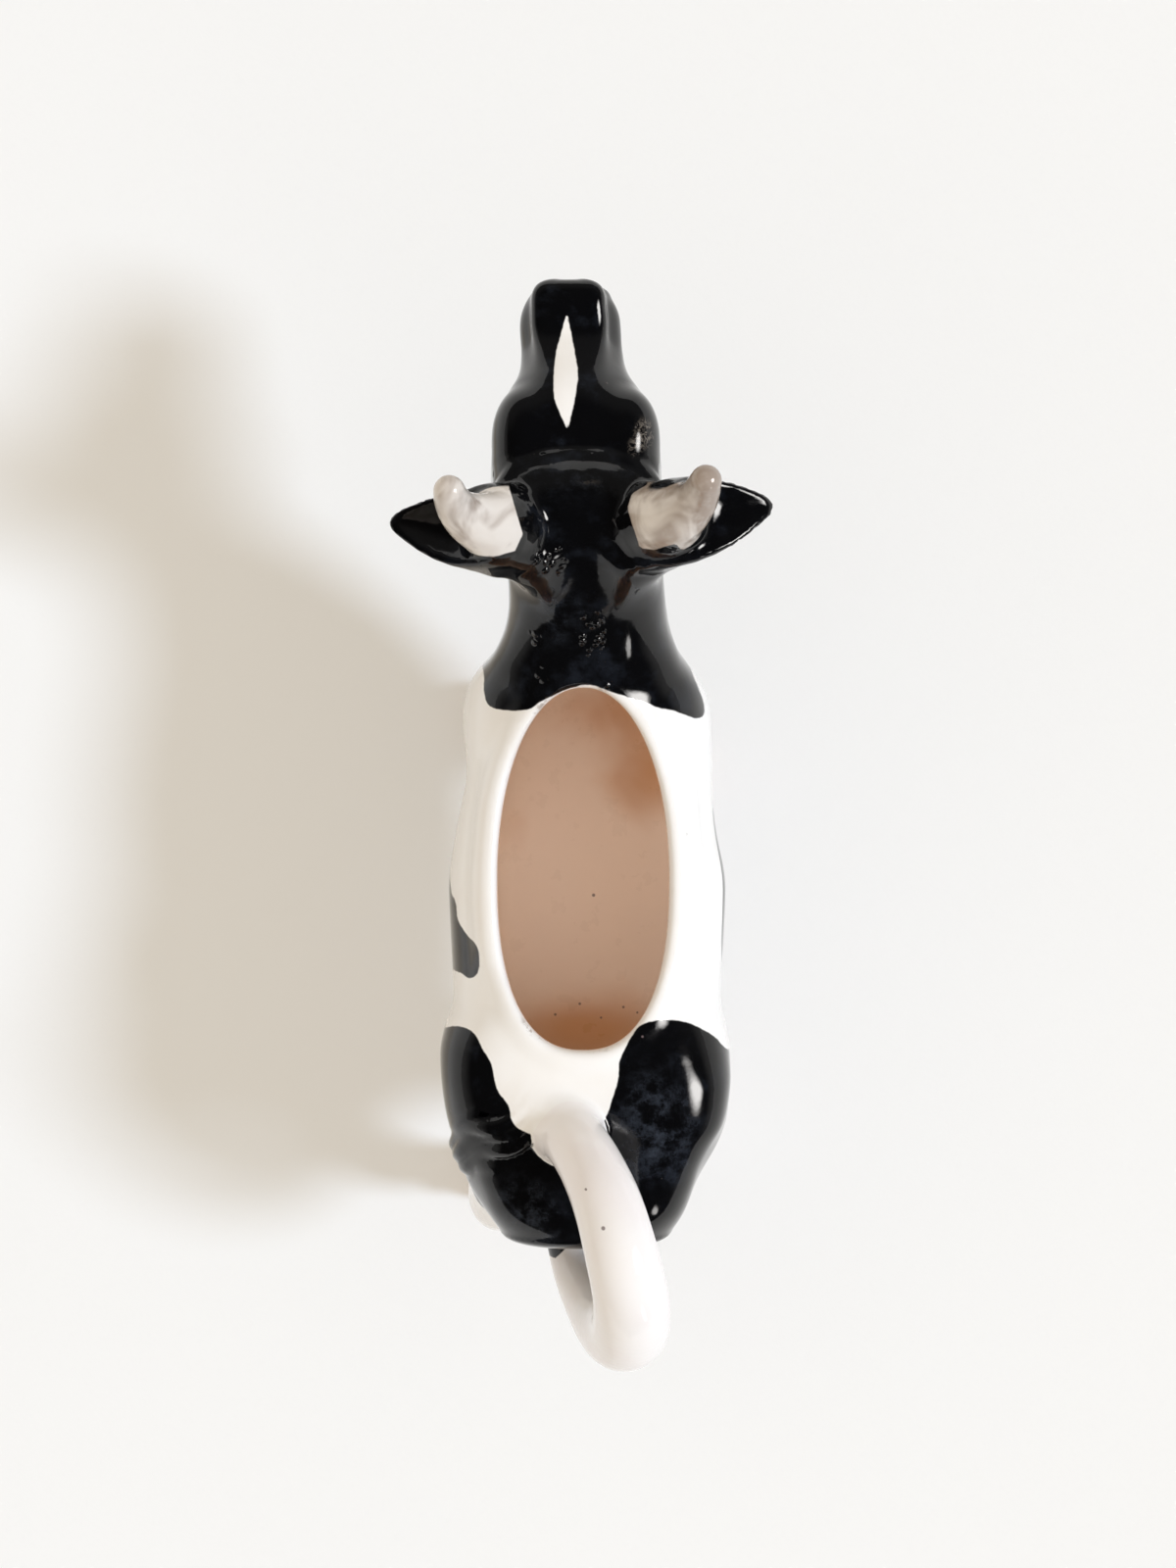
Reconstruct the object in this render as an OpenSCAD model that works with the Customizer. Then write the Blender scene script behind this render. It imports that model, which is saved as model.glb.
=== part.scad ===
// Cow creamer: a hollow standing cow in glazed earthenware.
// It is filled through an oval opening in the back and poured through the mouth,
// and the tail loops up and forward as the handle.
// Axes: +Y is towards the head, +Z is up, and the cow's own left is -X.
// The origin is on the table under the middle of the cow.

/* [Body] */
// Height of the back above the table, at the middle of the barrel
back_h = 80; // [72:1:92]
// Width of the barrel over the flanks
barrel_w = 50; // [46:1:54]
// Thickness of the fired wall of the barrel and neck
wall = 3.5; // [2.8:0.1:4.2]

/* [Filling opening] */
// Width of the oval opening in the back
opening_w = 29.6; // [24:0.2:31]
// Length of the oval opening, along the back
opening_l = 61.6; // [50:0.2:64]
// Radius of the rounded lip around the opening
lip_r = 1.8; // [1.4:0.1:2.1]

/* [Mouth] */
// Width of the pouring mouth
mouth_w = 9.6; // [7:0.2:11]
// Height of the pouring mouth
mouth_h = 6.2; // [5:0.2:7]

/* [Horns and ears] */
// Radius of a horn at its base
horn_r = 5.2; // [4.4:0.1:5.6]
// Radius of the blunt tip of a horn
horn_tip_r = 2.4; // [1.8:0.1:2.8]
// Thickness of the cupped wall of an ear
ear_t = 2.3; // [1.8:0.1:2.8]

/* [Legs] */
// Radius of a hoof where it stands on the table
hoof_r = 6.3; // [5.6:0.1:6.8]
// Radius of the shin, the thinnest part of a leg
shin_r = 4.4; // [3.8:0.1:5]

/* [Tail handle] */
// Radius of the tail at the rear of its loop
tail_r = 6.6; // [5.6:0.1:7]
// Radius of the tail where it joins the top of the rump
tail_join_r = 5; // [4.4:0.1:5.6]

/* [Hidden] */

// How far the barrel is raised over its usual height, and how much wider it is
lift = back_h - 80;
wide = barrel_w / 50;
// Sides of a cross-section of the body
around = 40;

// Stations of the outer body, from the rump to the nose, in mm:
// [y, left side x, right side x, top z, bottom z, z of the widest point, upper roundness, lower roundness]
STATIONS = [
    [-75.0,  -5.0,   5.4,  64.0, 52.0, 58, 2.0, 2.0],
    [-73.8,  -9.6,  10.2,  69.5, 47.5, 58, 2.0, 2.0],
    [-71.5, -13.4,  14.4,  73.5, 44.0, 58, 2.1, 2.0],
    [-67.5, -17.2,  18.6,  77.0, 40.5, 58, 2.2, 2.1],
    [-62.0, -20.2,  21.8,  79.5, 38.0, 58, 2.3, 2.2],
    [-55.0, -21.8,  24.2,  81.0, 36.0, 58, 2.4, 2.3],
    [-47.0, -23.4,  25.4,  81.3, 34.6, 57, 2.4, 2.4],
    [-39.0, -23.8,  25.0,  80.6, 33.4, 56, 2.4, 2.4],
    [-30.0, -22.9,  24.6,  79.8, 32.6, 55, 2.4, 2.4],
    [-20.0, -23.7,  25.3,  79.3, 32.0, 55, 2.4, 2.4],
    [-10.0, -24.1,  25.7,  79.0, 31.8, 55, 2.4, 2.4],
    [  0.0, -22.8,  23.8,  79.0, 32.2, 55, 2.4, 2.4],
    [ 10.0, -20.8,  22.8,  79.2, 33.2, 56, 2.4, 2.3],
    [ 18.0, -20.0,  22.2,  79.8, 34.4, 57, 2.4, 2.3],
    [ 24.0, -19.8,  21.6,  80.6, 35.8, 58, 2.3, 2.2],
    [ 28.0, -18.7,  19.4,  82.0, 37.4, 59, 2.2, 2.1],
    [ 32.0, -15.6,  17.0,  85.0, 39.8, 61, 2.2, 2.1],
    [ 36.5, -13.4,  15.2,  89.2, 43.2, 64, 2.3, 2.1],
    [ 40.0, -12.4,  14.3,  93.2, 47.0, 70, 2.3, 2.1],
    [ 43.5, -12.5,  13.7,  97.6, 51.5, 76, 2.3, 2.1],
    [ 46.5, -13.0,  13.4, 101.0, 57.0, 82, 2.4, 2.1],
    [ 49.5, -13.4,  12.8, 103.5, 64.0, 87, 2.5, 2.2],
    [ 52.5, -14.2,  12.8, 104.6, 69.5, 88, 2.5, 2.3],
    [ 56.0, -15.0,  13.0, 103.8, 71.6, 88, 2.5, 2.4],
    [ 60.0, -15.4,  13.4, 102.0, 72.0, 87, 2.5, 2.4],
    [ 64.0, -15.4,  13.2,  99.2, 72.2, 86, 2.5, 2.4],
    [ 68.0, -14.9,  12.4,  97.0, 72.2, 85, 2.5, 2.4],
    [ 72.0, -13.4,  10.8,  94.6, 72.0, 83, 2.5, 2.4],
    [ 75.5, -11.4,   8.5,  92.0, 71.8, 81, 2.5, 2.4],
    [ 79.0, -10.6,   7.3,  90.0, 71.6, 79, 2.5, 2.4],
    [ 83.0, -10.6,   7.2,  88.8, 71.6, 78, 2.6, 2.4],
    [ 87.0, -10.4,   6.7,  88.3, 72.2, 78, 2.7, 2.4],
    [ 90.2,  -9.0,   5.2,  87.8, 73.6, 79, 2.7, 2.3],
    [ 92.2,  -7.3,   3.5,  86.6, 75.4, 80, 2.6, 2.2],
    [ 93.0,  -5.7,   1.9,  85.2, 77.0, 81, 2.4, 2.2]
];

// Stations of the inside, from the rear of the cavity through the throat to the mouth.
// The last ones narrow to the pouring channel, which leaves the face at the mouth.
THROAT = [
    [ 48.0,  -9.0,   9.3,  97.5, 64.0, 84, 2.2, 2.2],
    [ 52.0,  -9.2,   8.4,  98.5, 74.0, 86, 2.2, 2.2],
    [ 57.0,  -9.0,   7.4,  96.5, 76.2, 86, 2.2, 2.2],
    [ 63.0,  -8.4,   6.2,  93.0, 76.4, 84, 2.2, 2.2],
    [ 70.0,  -7.4,   4.4,  88.0, 76.4, 82, 2.2, 2.2]
];
// Middle of the mouth on the face: x and z
MOUTH_X = -1.8;
MOUTH_Z = 79.4;

// Feet: centre of each hoof on the table, x and y
FL = [-15.8, 22];
FR = [ 18.4, 11];
RL = [-16.2, -72.2];
RR = [ 18.0, -58];

// Tail from its root low on the rump, up and back, and over to the top of the rump: [x, y, z, radius / tail_r]
TAIL = [
    [-1.6, -70.0, 50.0, 0.90],
    [-1.2, -75.5, 51.4, 0.88],
    [ 0.0, -80.6, 55.6, 0.86],
    [ 2.4, -84.6, 62.6, 0.90],
    [ 5.2, -86.5, 70.8, 0.96],
    [ 7.4, -86.0, 79.0, 0.99],
    [ 8.6, -82.6, 87.0, 1.00],
    [ 8.3, -76.0, 93.6, 0.96],
    [ 6.6, -68.2, 96.4, 0.90],
    [ 4.2, -60.6, 93.6, 0.84]
];
// The end of the tail, down onto the top of the rump: [x, y, z, radius / tail_join_r]
TAIL_END = [
    [ 4.2, -60.6, 93.6, 1.11],
    [ 1.6, -55.6, 88.6, 1.03],
    [-1.0, -52.4, 83.4, 1.04],
    [-3.0, -50.8, 78.6, 1.15]
];
// The tuft of the tail, over the left hip: [x, y, z, radius]
TUFT = [
    [ -4.6, -49.6, 81.0, 3.2],
    [ -9.0, -50.2, 80.4, 4.0],
    [-13.0, -51.4, 78.2, 4.6],
    [-16.4, -53.0, 74.4, 4.9],
    [-18.7, -54.8, 69.2, 4.8],
    [-19.9, -56.4, 63.4, 4.5],
    [-20.2, -57.8, 57.8, 4.0],
    [-19.9, -59.2, 52.6, 3.2],
    [-19.2, -60.2, 48.4, 2.2]
];
// Locks of hair on the tuft: sideways offset along the body and forward lean
LOCKS = [-4.6, 0, 4.6];

HORN_L = [[-12.2, 50.6, 101.4, 1.04], [-14.6, 49.8, 104.6, 0.96], [-17.2, 50.0, 107.9, 0.81],
          [-19.1, 51.1, 111.3, 0.65], [-20.0, 52.4, 114.6, 0.54], [-20.3, 53.5, 117.5, 0.46]];
HORN_R = [[ 11.6, 51.0, 101.4, 1.04], [ 13.8, 50.6, 104.6, 0.94], [ 16.0, 51.2, 107.9, 0.80],
          [ 17.8, 52.7, 111.3, 0.65], [ 18.7, 54.0, 114.6, 0.54], [ 19.0, 55.0, 117.5, 0.46]];

// ---------- curves and lofts ----------

function pick(tab, i) = tab[max(0, min(len(tab) - 1, i))];
function cr(a, b, c, d, t) = 0.5 * (2 * b + (c - a) * t + (2 * a - 5 * b + 4 * c - d) * t * t
                                    + (3 * b - a - 3 * c + d) * t * t * t);
// A row of the table at the position u, counted in rows, on a smooth curve through the rows
function at(tab, u) = let (i = min(len(tab) - 2, floor(u)), t = u - i)
    [for (k = [0 : len(tab[0]) - 1]) cr(pick(tab, i - 1)[k], pick(tab, i)[k], pick(tab, i + 1)[k], pick(tab, i + 2)[k], t)];
function smooth(tab, steps) = [for (s = [0 : (len(tab) - 1) * steps]) at(tab, s / steps)];

function sgn_pow(v, e) = sign(v) * pow(abs(v), e);
// One cross-section: a rounded ring of points at the station s, moved in by the distance t
function ring(s, t = 0, n = around) = let (xm = (s[1] + s[2]) / 2) [for (j = [0 : n - 1])
    let (a = 360 * (j + 0.5) / n, c = cos(a), q = sin(a), e = 2 / (q >= 0 ? s[6] : s[7]),
         h = (s[2] - s[1]) / 2 - t, v = q >= 0 ? s[3] - s[5] - t : s[5] - s[4] - t)
    [wide * (xm + h * sgn_pow(c, e)), s[0], lift + s[5] + v * sgn_pow(q, e)]];

// A closed solid through rings with the same number of points
module loft(rings) {
    n = len(rings[0]);
    m = len(rings);
    polyhedron(
        points = [for (r = rings) each r],
        faces = concat(
            [for (i = [0 : m - 2], j = [0 : n - 1]) let (a = i * n + j, b = i * n + (j + 1) % n) [a, b, b + n]],
            [for (i = [0 : m - 2], j = [0 : n - 1]) let (a = i * n + j, b = i * n + (j + 1) % n) [a, b + n, a + n]],
            [[for (j = [n - 1 : -1 : 0]) j]],
            [[for (j = [0 : n - 1]) (m - 1) * n + j]]));
}

module ball(p) { translate([wide * p[0], p[1], p[2] + lift]) sphere(r = p[3], $fn = 20); }
// A rounded limb through balls [x, y, z, r]
module limb(balls) {
    for (i = [0 : len(balls) - 2]) hull() { ball(balls[i]); ball(balls[i + 1]); }
}

// ---------- outer and inner volumes of the hollow body ----------

module outer_body() { loft([for (s = STATIONS) ring(s)]); }

module inner_body() {
    rear = [for (s = STATIONS) if (s[0] > -71 && s[0] < 46) s];
    loft(concat(
        [ring([-71.2, -9, 9.6, 70, 47, 58, 2.0, 2.0], wall, around)],
        [for (s = rear) ring(s, wall, around)],
        [for (s = THROAT) ring(s, 0, around)],
        [for (y = [80, 88, 96]) ring([y, MOUTH_X - mouth_w / 2, MOUTH_X + mouth_w / 2,
                                      MOUTH_Z + mouth_h / 2, MOUTH_Z - mouth_h / 2, MOUTH_Z, 2.2, 2.2], 0, around)]));
}

// Outline of the opening seen from above: the front is pointed and the rear is blunt
OPEN_Y = -8;
function opening_outline(grow, n = 48) = [for (j = [0 : n - 1])
    let (a = 360 * j / n, c = cos(a), q = sin(a), e = q >= 0 ? 2 / 2.1 : 2 / 2.4,
         len_y = opening_l * (q >= 0 ? 0.53 : 0.47) + grow)
    [wide * (0.1 + (opening_w / 2 + grow) * sgn_pow(c, e)), OPEN_Y + len_y * sgn_pow(q, e)]];

module opening_cut() {
    translate([0, 0, 62 + lift]) linear_extrude(height = 40) polygon(opening_outline(0));
}

// Height of the outer body over the point x, y, near the back
function body_row(y) = let (i = [for (k = [0 : len(STATIONS) - 2]) if (STATIONS[k][0] <= y && y < STATIONS[k + 1][0]) k][0],
                            t = (y - STATIONS[i][0]) / (STATIONS[i + 1][0] - STATIONS[i][0]))
    STATIONS[i] * (1 - t) + STATIONS[i + 1] * t;
function back_z(x, y) = let (s = body_row(y), xm = (s[1] + s[2]) / 2, h = (s[2] - s[1]) / 2, u = min(0.98, abs(x / wide - xm) / h))
    lift + s[5] + (s[3] - s[5]) * pow(1 - pow(u, s[6]), 1 / s[6]);

// The rounded lip: balls along the edge of the opening, just inside the wall
module lip() {
    n = 44;
    edge = opening_outline(lip_r, n);
    for (j = [0 : n - 1]) hull() for (k = [j, (j + 1) % n]) let (p = edge[k])
        translate([p[0], p[1], back_z(p[0], p[1]) - lip_r + 0.35]) sphere(r = lip_r, $fn = 12);
}

// The joint between barrel and neck: a plane that leans back, with the neck in front of it
module neck_side(gap = 0) {
    translate([-60, 33 + gap, 62 + lift]) rotate([20, 0, 0]) translate([0, 0, -90]) cube([120, 120, 180]);
}

// ---------- the pieces ----------

module body_shell() color([0.96, 0.95, 0.93]) {
    difference() {
        union() {
            difference() {
                outer_body();
                inner_body();
                opening_cut();
            }
            lip();
        }
        neck_side();
    }
}

module neck_head_shell() color([0.07, 0.07, 0.08]) {
    difference() {
        intersection() {
            union() {
                outer_body();
                // brow ridges over the eyes
                for (s = [-1, 1]) hull() {
                    ball([-1.2 + s * 10.6, 66.0, 93.6, 2.4]);
                    ball([-1.2 + s * 11.6, 62.0, 94.2, 2.6]);
                }
                // fringe of hair across the poll
                for (k = [-4 : 3]) hull() {
                    ball([-1 + k * 2.6, 61.6 - 0.10 * k * k, 100.3 - 0.12 * k * k, 1.7]);
                    ball([-1 + (k + 1) * 2.6, 61.6 - 0.10 * (k + 1) * (k + 1), 100.3 - 0.12 * (k + 1) * (k + 1), 1.7]);
                    ball([-1 + k * 2.6, 53, 101.6, 1.7]);
                }
            }
            neck_side();
        }
        inner_body();
    }
}

module horn(path) color([0.80, 0.76, 0.71]) {
    difference() {
        limb([for (p = smooth(path, 2)) [p[0], p[1], p[2], p[3] * (p[3] > 0.5 ? horn_r : horn_tip_r / 0.46)]]);
        outer_body();
    }
}
module horn_left() { horn(HORN_L); }
module horn_right() { horn(HORN_R); }

// A cupped ear, as a leaf with a hollow that faces up and forward.
// base and tip are points, and side is -1 on the cow's left
module ear(base, tip, side) color([0.07, 0.07, 0.08]) {
    d = tip - base;
    leaf = [[0, 3.4], [0.14, 4.5], [0.30, 5.2], [0.46, 5.3], [0.60, 4.9], [0.74, 4.1], [0.86, 3.0], [0.95, 1.8], [1, 1.1]];
    difference() {
        for (i = [0 : len(leaf) - 2]) hull() for (k = [i, i + 1])
            translate(base + d * leaf[k][0] + [0, 0, lift]) rotate([0, side * 8, 0]) rotate([22, 0, 0])
                scale([0.5, 1, 0.62]) sphere(r = leaf[k][1], $fn = 20);
        // the hollow of the cup
        for (i = [2 : len(leaf) - 3]) hull() for (k = [i, i + 1])
            translate(base + d * leaf[k][0] + [0, 1.3, lift + ear_t * 0.95]) rotate([0, side * 8, 0]) rotate([22, 0, 0])
                scale([0.4, 1, 0.52]) sphere(r = max(0.8, leaf[k][1] - 1.3), $fn = 20);
        outer_body();
        horn_room(side);
    }
}
// What the horn of that side takes up, which the ear stays clear of
module horn_room(side) {
    path = side < 0 ? HORN_L : HORN_R;
    limb([for (p = path) [p[0], p[1], p[2], p[3] * (p[3] > 0.5 ? horn_r : horn_tip_r / 0.46) + 0.01]]);
}
module ear_left() { ear([-11.5, 46.8, 97.0], [-30.9, 50.7, 100.4], -1); }
module ear_right() { ear([11.0, 47.4, 97.0], [30.8, 53.6, 100.4], 1); }

// A hoof with a flat sole, cloven at the front
module hoof(x, y) {
    difference() {
        hull() {
            translate([wide * x, y, 0]) cylinder(r = hoof_r, h = 1.2, $fn = 28);
            translate([wide * x, y - 0.4, 6.6]) cylinder(r = hoof_r - 1.5, h = 1, $fn = 28);
        }
        hull() {
            translate([wide * x, y + hoof_r + 0.4, -1]) cylinder(r = 0.7, h = 5, $fn = 8);
            translate([wide * x, y + hoof_r - 2.6, -1]) cylinder(r = 0.4, h = 5, $fn = 8);
        }
    }
}

// A leg before it is trimmed to the barrel, from the shoulder or the hip down.
// joints are balls [x, y, z, r]
module whole_leg(foot, joints) {
    limb(joints);
    hull() {
        ball(joints[len(joints) - 1]);
        translate([wide * foot[0], foot[1], 12]) sphere(r = shin_r, $fn = 20);
    }
    hull() {
        translate([wide * foot[0], foot[1], 12]) sphere(r = shin_r, $fn = 20);
        translate([wide * foot[0], foot[1] + 0.2, 7.4]) sphere(r = hoof_r - 1.1, $fn = 20);
    }
    hoof(foot[0], foot[1]);
}

module whole_front_leg(foot, s) {
    whole_leg(foot, [[s * 11.6 + 0.8, foot[1] - 0.5, 56, 8.8], [s * 12.8 + 0.8, foot[1] - 0.5, 48, 8.6], [foot[0] - s * 1.4, foot[1] - 0.5, 38, 7.4],
                     [foot[0] - s * 0.4, foot[1] - 0.4, 30, 6.2], [foot[0], foot[1] + 0.2, 23, 5.4], [foot[0], foot[1] + 0.4, 19, shin_r + 0.6]]);
}
module whole_rear_leg(foot, s, hip_y) {
    whole_leg(foot, [[s * 12.2 + 0.8, hip_y, 60, 12.2], [s * 12.4 + 0.8, hip_y - 2, 50, 11.4], [s * 13.6 + 0.6, (hip_y + foot[1]) / 2, 40, 8.8],
                     [foot[0] - s * 0.8, foot[1] + 1.8, 31, 6.8], [foot[0] - s * 0.2, foot[1] - 0.2, 24.5, 5.6], [foot[0], foot[1] - 0.4, 20, shin_r + 0.7]]);
}
module whole_rear_left() { whole_rear_leg(RL, -1, -58); }
module whole_rear_right() { whole_rear_leg(RR, 1, -52); }

module front_left_leg() color([0.94, 0.91, 0.88]) { difference() { whole_front_leg(FL, -1); outer_body(); } }
module front_right_leg() color([0.94, 0.91, 0.88]) { difference() { whole_front_leg(FR, 1); outer_body(); } }
module rear_left_leg() color([0.94, 0.91, 0.88]) { difference() { whole_rear_left(); outer_body(); } }
module rear_right_leg() color([0.94, 0.91, 0.88]) { difference() { whole_rear_right(); outer_body(); } }

module udder() color([0.93, 0.80, 0.76]) {
    difference() {
        union() {
            hull() {
                ball([0.8, -47, 36, 8.6]);
                ball([0.8, -38, 34.6, 6.4]);
            }
            for (sx = [-1, 1], y = [-50, -42]) {
                hull() { ball([0.8 + sx * 3.9, y, 29.6, 2.4]); ball([0.8 + sx * 4.2, y, 25.4, 1.5]); }
                hull() { ball([0.8 + sx * 3.9, y, 29.6, 2.4]); ball([0.8 + sx * 2.4, y, 34, 4.2]); }
            }
        }
        outer_body();
        whole_rear_left();
        whole_rear_right();
    }
}

module tail_handle() color([0.95, 0.91, 0.89]) {
    difference() {
        union() {
            limb([for (p = smooth(TAIL, 2)) [p[0], p[1], p[2], p[3] * tail_r]]);
            limb([for (p = smooth(TAIL_END, 2)) [p[0], p[1], p[2], p[3] * tail_join_r]]);
        }
        outer_body();
    }
}

module tail_tuft() color([0.07, 0.07, 0.08]) {
    difference() {
        union() {
            limb(smooth(TUFT, 1));
            // wavy locks along the tuft
            for (k = LOCKS) limb([for (i = [2 : 7]) let (p = TUFT[i])
                [p[0] - 0.6, p[1] + k * (0.5 + 0.1 * (i % 2)) * (i < 6 ? 1 : 0.6), p[2] + 0.4, p[3] * 0.7]]);
        }
        outer_body();
        limb([for (p = smooth(TAIL_END, 2)) [p[0], p[1], p[2], p[3] * tail_join_r + 0.01]]);
        whole_rear_left();
    }
}

body_shell();
neck_head_shell();
horn_left();
horn_right();
ear_left();
ear_right();
front_left_leg();
front_right_leg();
rear_left_leg();
rear_right_leg();
udder();
tail_handle();
tail_tuft();
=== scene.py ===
"""A glazed earthenware cow creamer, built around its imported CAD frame.

The skin of the cow is one smooth signed field in millimetres. It is meshed once,
cut along the joints into one piece per CAD node, and painted from per-vertex
distances to the edges of the glaze colours.
"""
import math
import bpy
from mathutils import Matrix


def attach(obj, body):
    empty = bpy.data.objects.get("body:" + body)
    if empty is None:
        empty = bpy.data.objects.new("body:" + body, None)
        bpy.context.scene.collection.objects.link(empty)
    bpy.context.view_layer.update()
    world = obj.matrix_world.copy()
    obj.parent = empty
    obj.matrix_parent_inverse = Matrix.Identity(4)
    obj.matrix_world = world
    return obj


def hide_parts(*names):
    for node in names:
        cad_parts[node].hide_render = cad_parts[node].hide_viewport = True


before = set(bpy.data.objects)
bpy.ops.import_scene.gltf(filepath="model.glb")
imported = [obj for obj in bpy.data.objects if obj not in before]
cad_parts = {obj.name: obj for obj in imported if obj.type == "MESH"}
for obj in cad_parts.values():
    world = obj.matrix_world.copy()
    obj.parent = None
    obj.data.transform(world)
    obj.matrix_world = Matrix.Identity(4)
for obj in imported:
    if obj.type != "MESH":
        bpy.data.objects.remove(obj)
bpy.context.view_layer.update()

from concurrent.futures import ThreadPoolExecutor

import bpy
import numpy as np
from mathutils import Matrix, Vector

H = 0.95          # grid step of the first mesh, mm


# ------------------------------------------------------------------ numbers
def smin(a, b, k):
    h = np.maximum(k - np.abs(a - b), 0.0) / k
    return np.minimum(a, b) - h * h * k * 0.25


def smax(a, b, k):
    h = np.maximum(k - np.abs(a - b), 0.0) / k
    return np.maximum(a, b) + h * h * k * 0.25


def pchip(x, y, xi):
    """Monotone cubic through the columns of y."""
    h = np.diff(x)
    d = np.diff(y, axis=0) / h[:, None]
    m = np.zeros_like(y)
    w1 = 2 * h[1:] + h[:-1]
    w2 = h[1:] + 2 * h[:-1]
    same = d[1:] * d[:-1] > 0
    with np.errstate(divide="ignore", invalid="ignore"):
        mid = (w1 + w2)[:, None] / (w1[:, None] / d[:-1] + w2[:, None] / d[1:])
    m[1:-1] = np.where(same, mid, 0.0)
    m[0], m[-1] = d[0], d[-1]
    xi = np.clip(xi, x[0], x[-1])
    i = np.clip(np.searchsorted(x, xi) - 1, 0, len(x) - 2)
    t = ((xi - x[i]) / h[i])[:, None]
    hh = h[i][:, None]
    return ((2 * t**3 - 3 * t**2 + 1) * y[i] + (t**3 - 2 * t**2 + t) * hh * m[i]
            + (-2 * t**3 + 3 * t**2) * y[i + 1] + (t**3 - t**2) * hh * m[i + 1])


def spline(points, sub):
    """Catmull-Rom through the rows of points, sub steps a span."""
    p = np.asarray(points, float)
    p = np.vstack([2 * p[0] - p[1], p, 2 * p[-1] - p[-2]])
    out = []
    for i in range(1, len(p) - 2):
        for s in range(sub):
            t = s / sub
            a, b, c, d = p[i - 1], p[i], p[i + 1], p[i + 2]
            out.append(0.5 * (2 * b + (c - a) * t + (2 * a - 5 * b + 4 * c - d) * t * t
                              + (3 * b - a - 3 * c + d) * t**3))
    out.append(p[-2])
    return np.array(out)


def smooth_columns(v, sigma_samples):
    r = int(4 * sigma_samples)
    k = np.exp(-0.5 * (np.arange(-r, r + 1) / sigma_samples) ** 2)
    k /= k.sum()
    pad = np.pad(v, ((r, r), (0, 0)), mode="edge")
    return np.stack([np.convolve(pad[:, c], k, mode="valid") for c in range(v.shape[1])], 1)


# ------------------------------------------------------------------ lofts
class Loft:
    """Superellipse sections along Y with round ends."""

    def __init__(self, rows, y_lo, len_lo, y_hi, len_hi, sigma, power=2.3, square=0.0):
        rows = np.asarray(rows, float)
        self.square = square
        self.y0, self.dy = y_lo - 4.0, 0.1
        ys = np.arange(self.y0, y_hi + 4.0, self.dy)
        v = pchip(rows[:, 0], rows[:, 1:], np.clip(ys, y_lo, y_hi))
        xl, xr, zt, zb, zw, nu, nd = v.T
        t = np.stack([(xl + xr) / 2, (xr - xl) / 2, zt - zw, zw - zb, zw, nu, nd], 1)
        t = smooth_columns(t, sigma / self.dy)
        self.t = np.hstack([t, np.gradient(t[:, :5], self.dy, axis=0)])
        self.y_lo, self.len_lo, self.y_hi, self.len_hi, self.power = y_lo, len_lo, y_hi, len_hi, power

    def at(self, y):
        f = np.clip((y - self.y0) / self.dy, 0, len(self.t) - 1.001)
        i = f.astype(np.int64)
        w = (f - i)[:, None]
        return self.t[i] * (1 - w) + self.t[i + 1] * w

    def hip(self, y, u):
        """The right hip is squarer on top than the left."""
        return 1.0 + self.square * np.exp(-(((y + 51.0) / 10.0) ** 2)) * (u > 0)

    def __call__(self, P):
        x, y, z = P[:, 0], P[:, 1], P[:, 2]
        xc, a, hu, hd, zw, nu, nd, dxc, da, dhu, dhd, dzw = self.at(y).T
        up = z > zw
        h = np.where(up, hu, hd)
        dh = np.where(up, dhu, dhd)
        u = (x - xc) / a
        n = np.where(up, nu * self.hip(y, u), nd)
        v = (z - zw) / h
        au = np.maximum(np.abs(u), 1e-6)
        av = np.maximum(np.abs(v), 1e-6)
        rs = np.maximum((au**n + av**n) ** (1 / n), 1e-4)
        gu = (au / rs) ** (n - 1) * np.sign(u)
        gv = (av / rs) ** (n - 1) * np.sign(v)
        m = self.power
        tl = np.maximum(0.0, (self.y_lo - y) / self.len_lo)
        th = np.maximum(0.0, (y - self.y_hi) / self.len_hi)
        t = np.maximum(tl, th)
        r = (rs**m + t**m) ** (1 / m)
        ks = (rs / r) ** (m - 1)
        kt = (t / r) ** (m - 1) * np.where(tl > 0, -1 / self.len_lo, 1 / self.len_hi)
        gx = ks * gu / a
        gz = ks * gv / h
        gy = ks * (gu * (-dxc - u * da) / a + gv * (-dzw - v * dh) / h) + kt
        return (r - 1) / np.sqrt(gx * gx + gy * gy + gz * gz + 1e-9)

    def top(self, x, y):
        xc, a, hu, hd, zw, nu = self.at(y).T[:6]
        nu = nu * self.hip(y, x - xc)
        u = np.clip(np.abs((x - xc) / a), 0, 0.999)
        return zw + hu * (1 - u**nu) ** (1 / nu)


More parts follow.
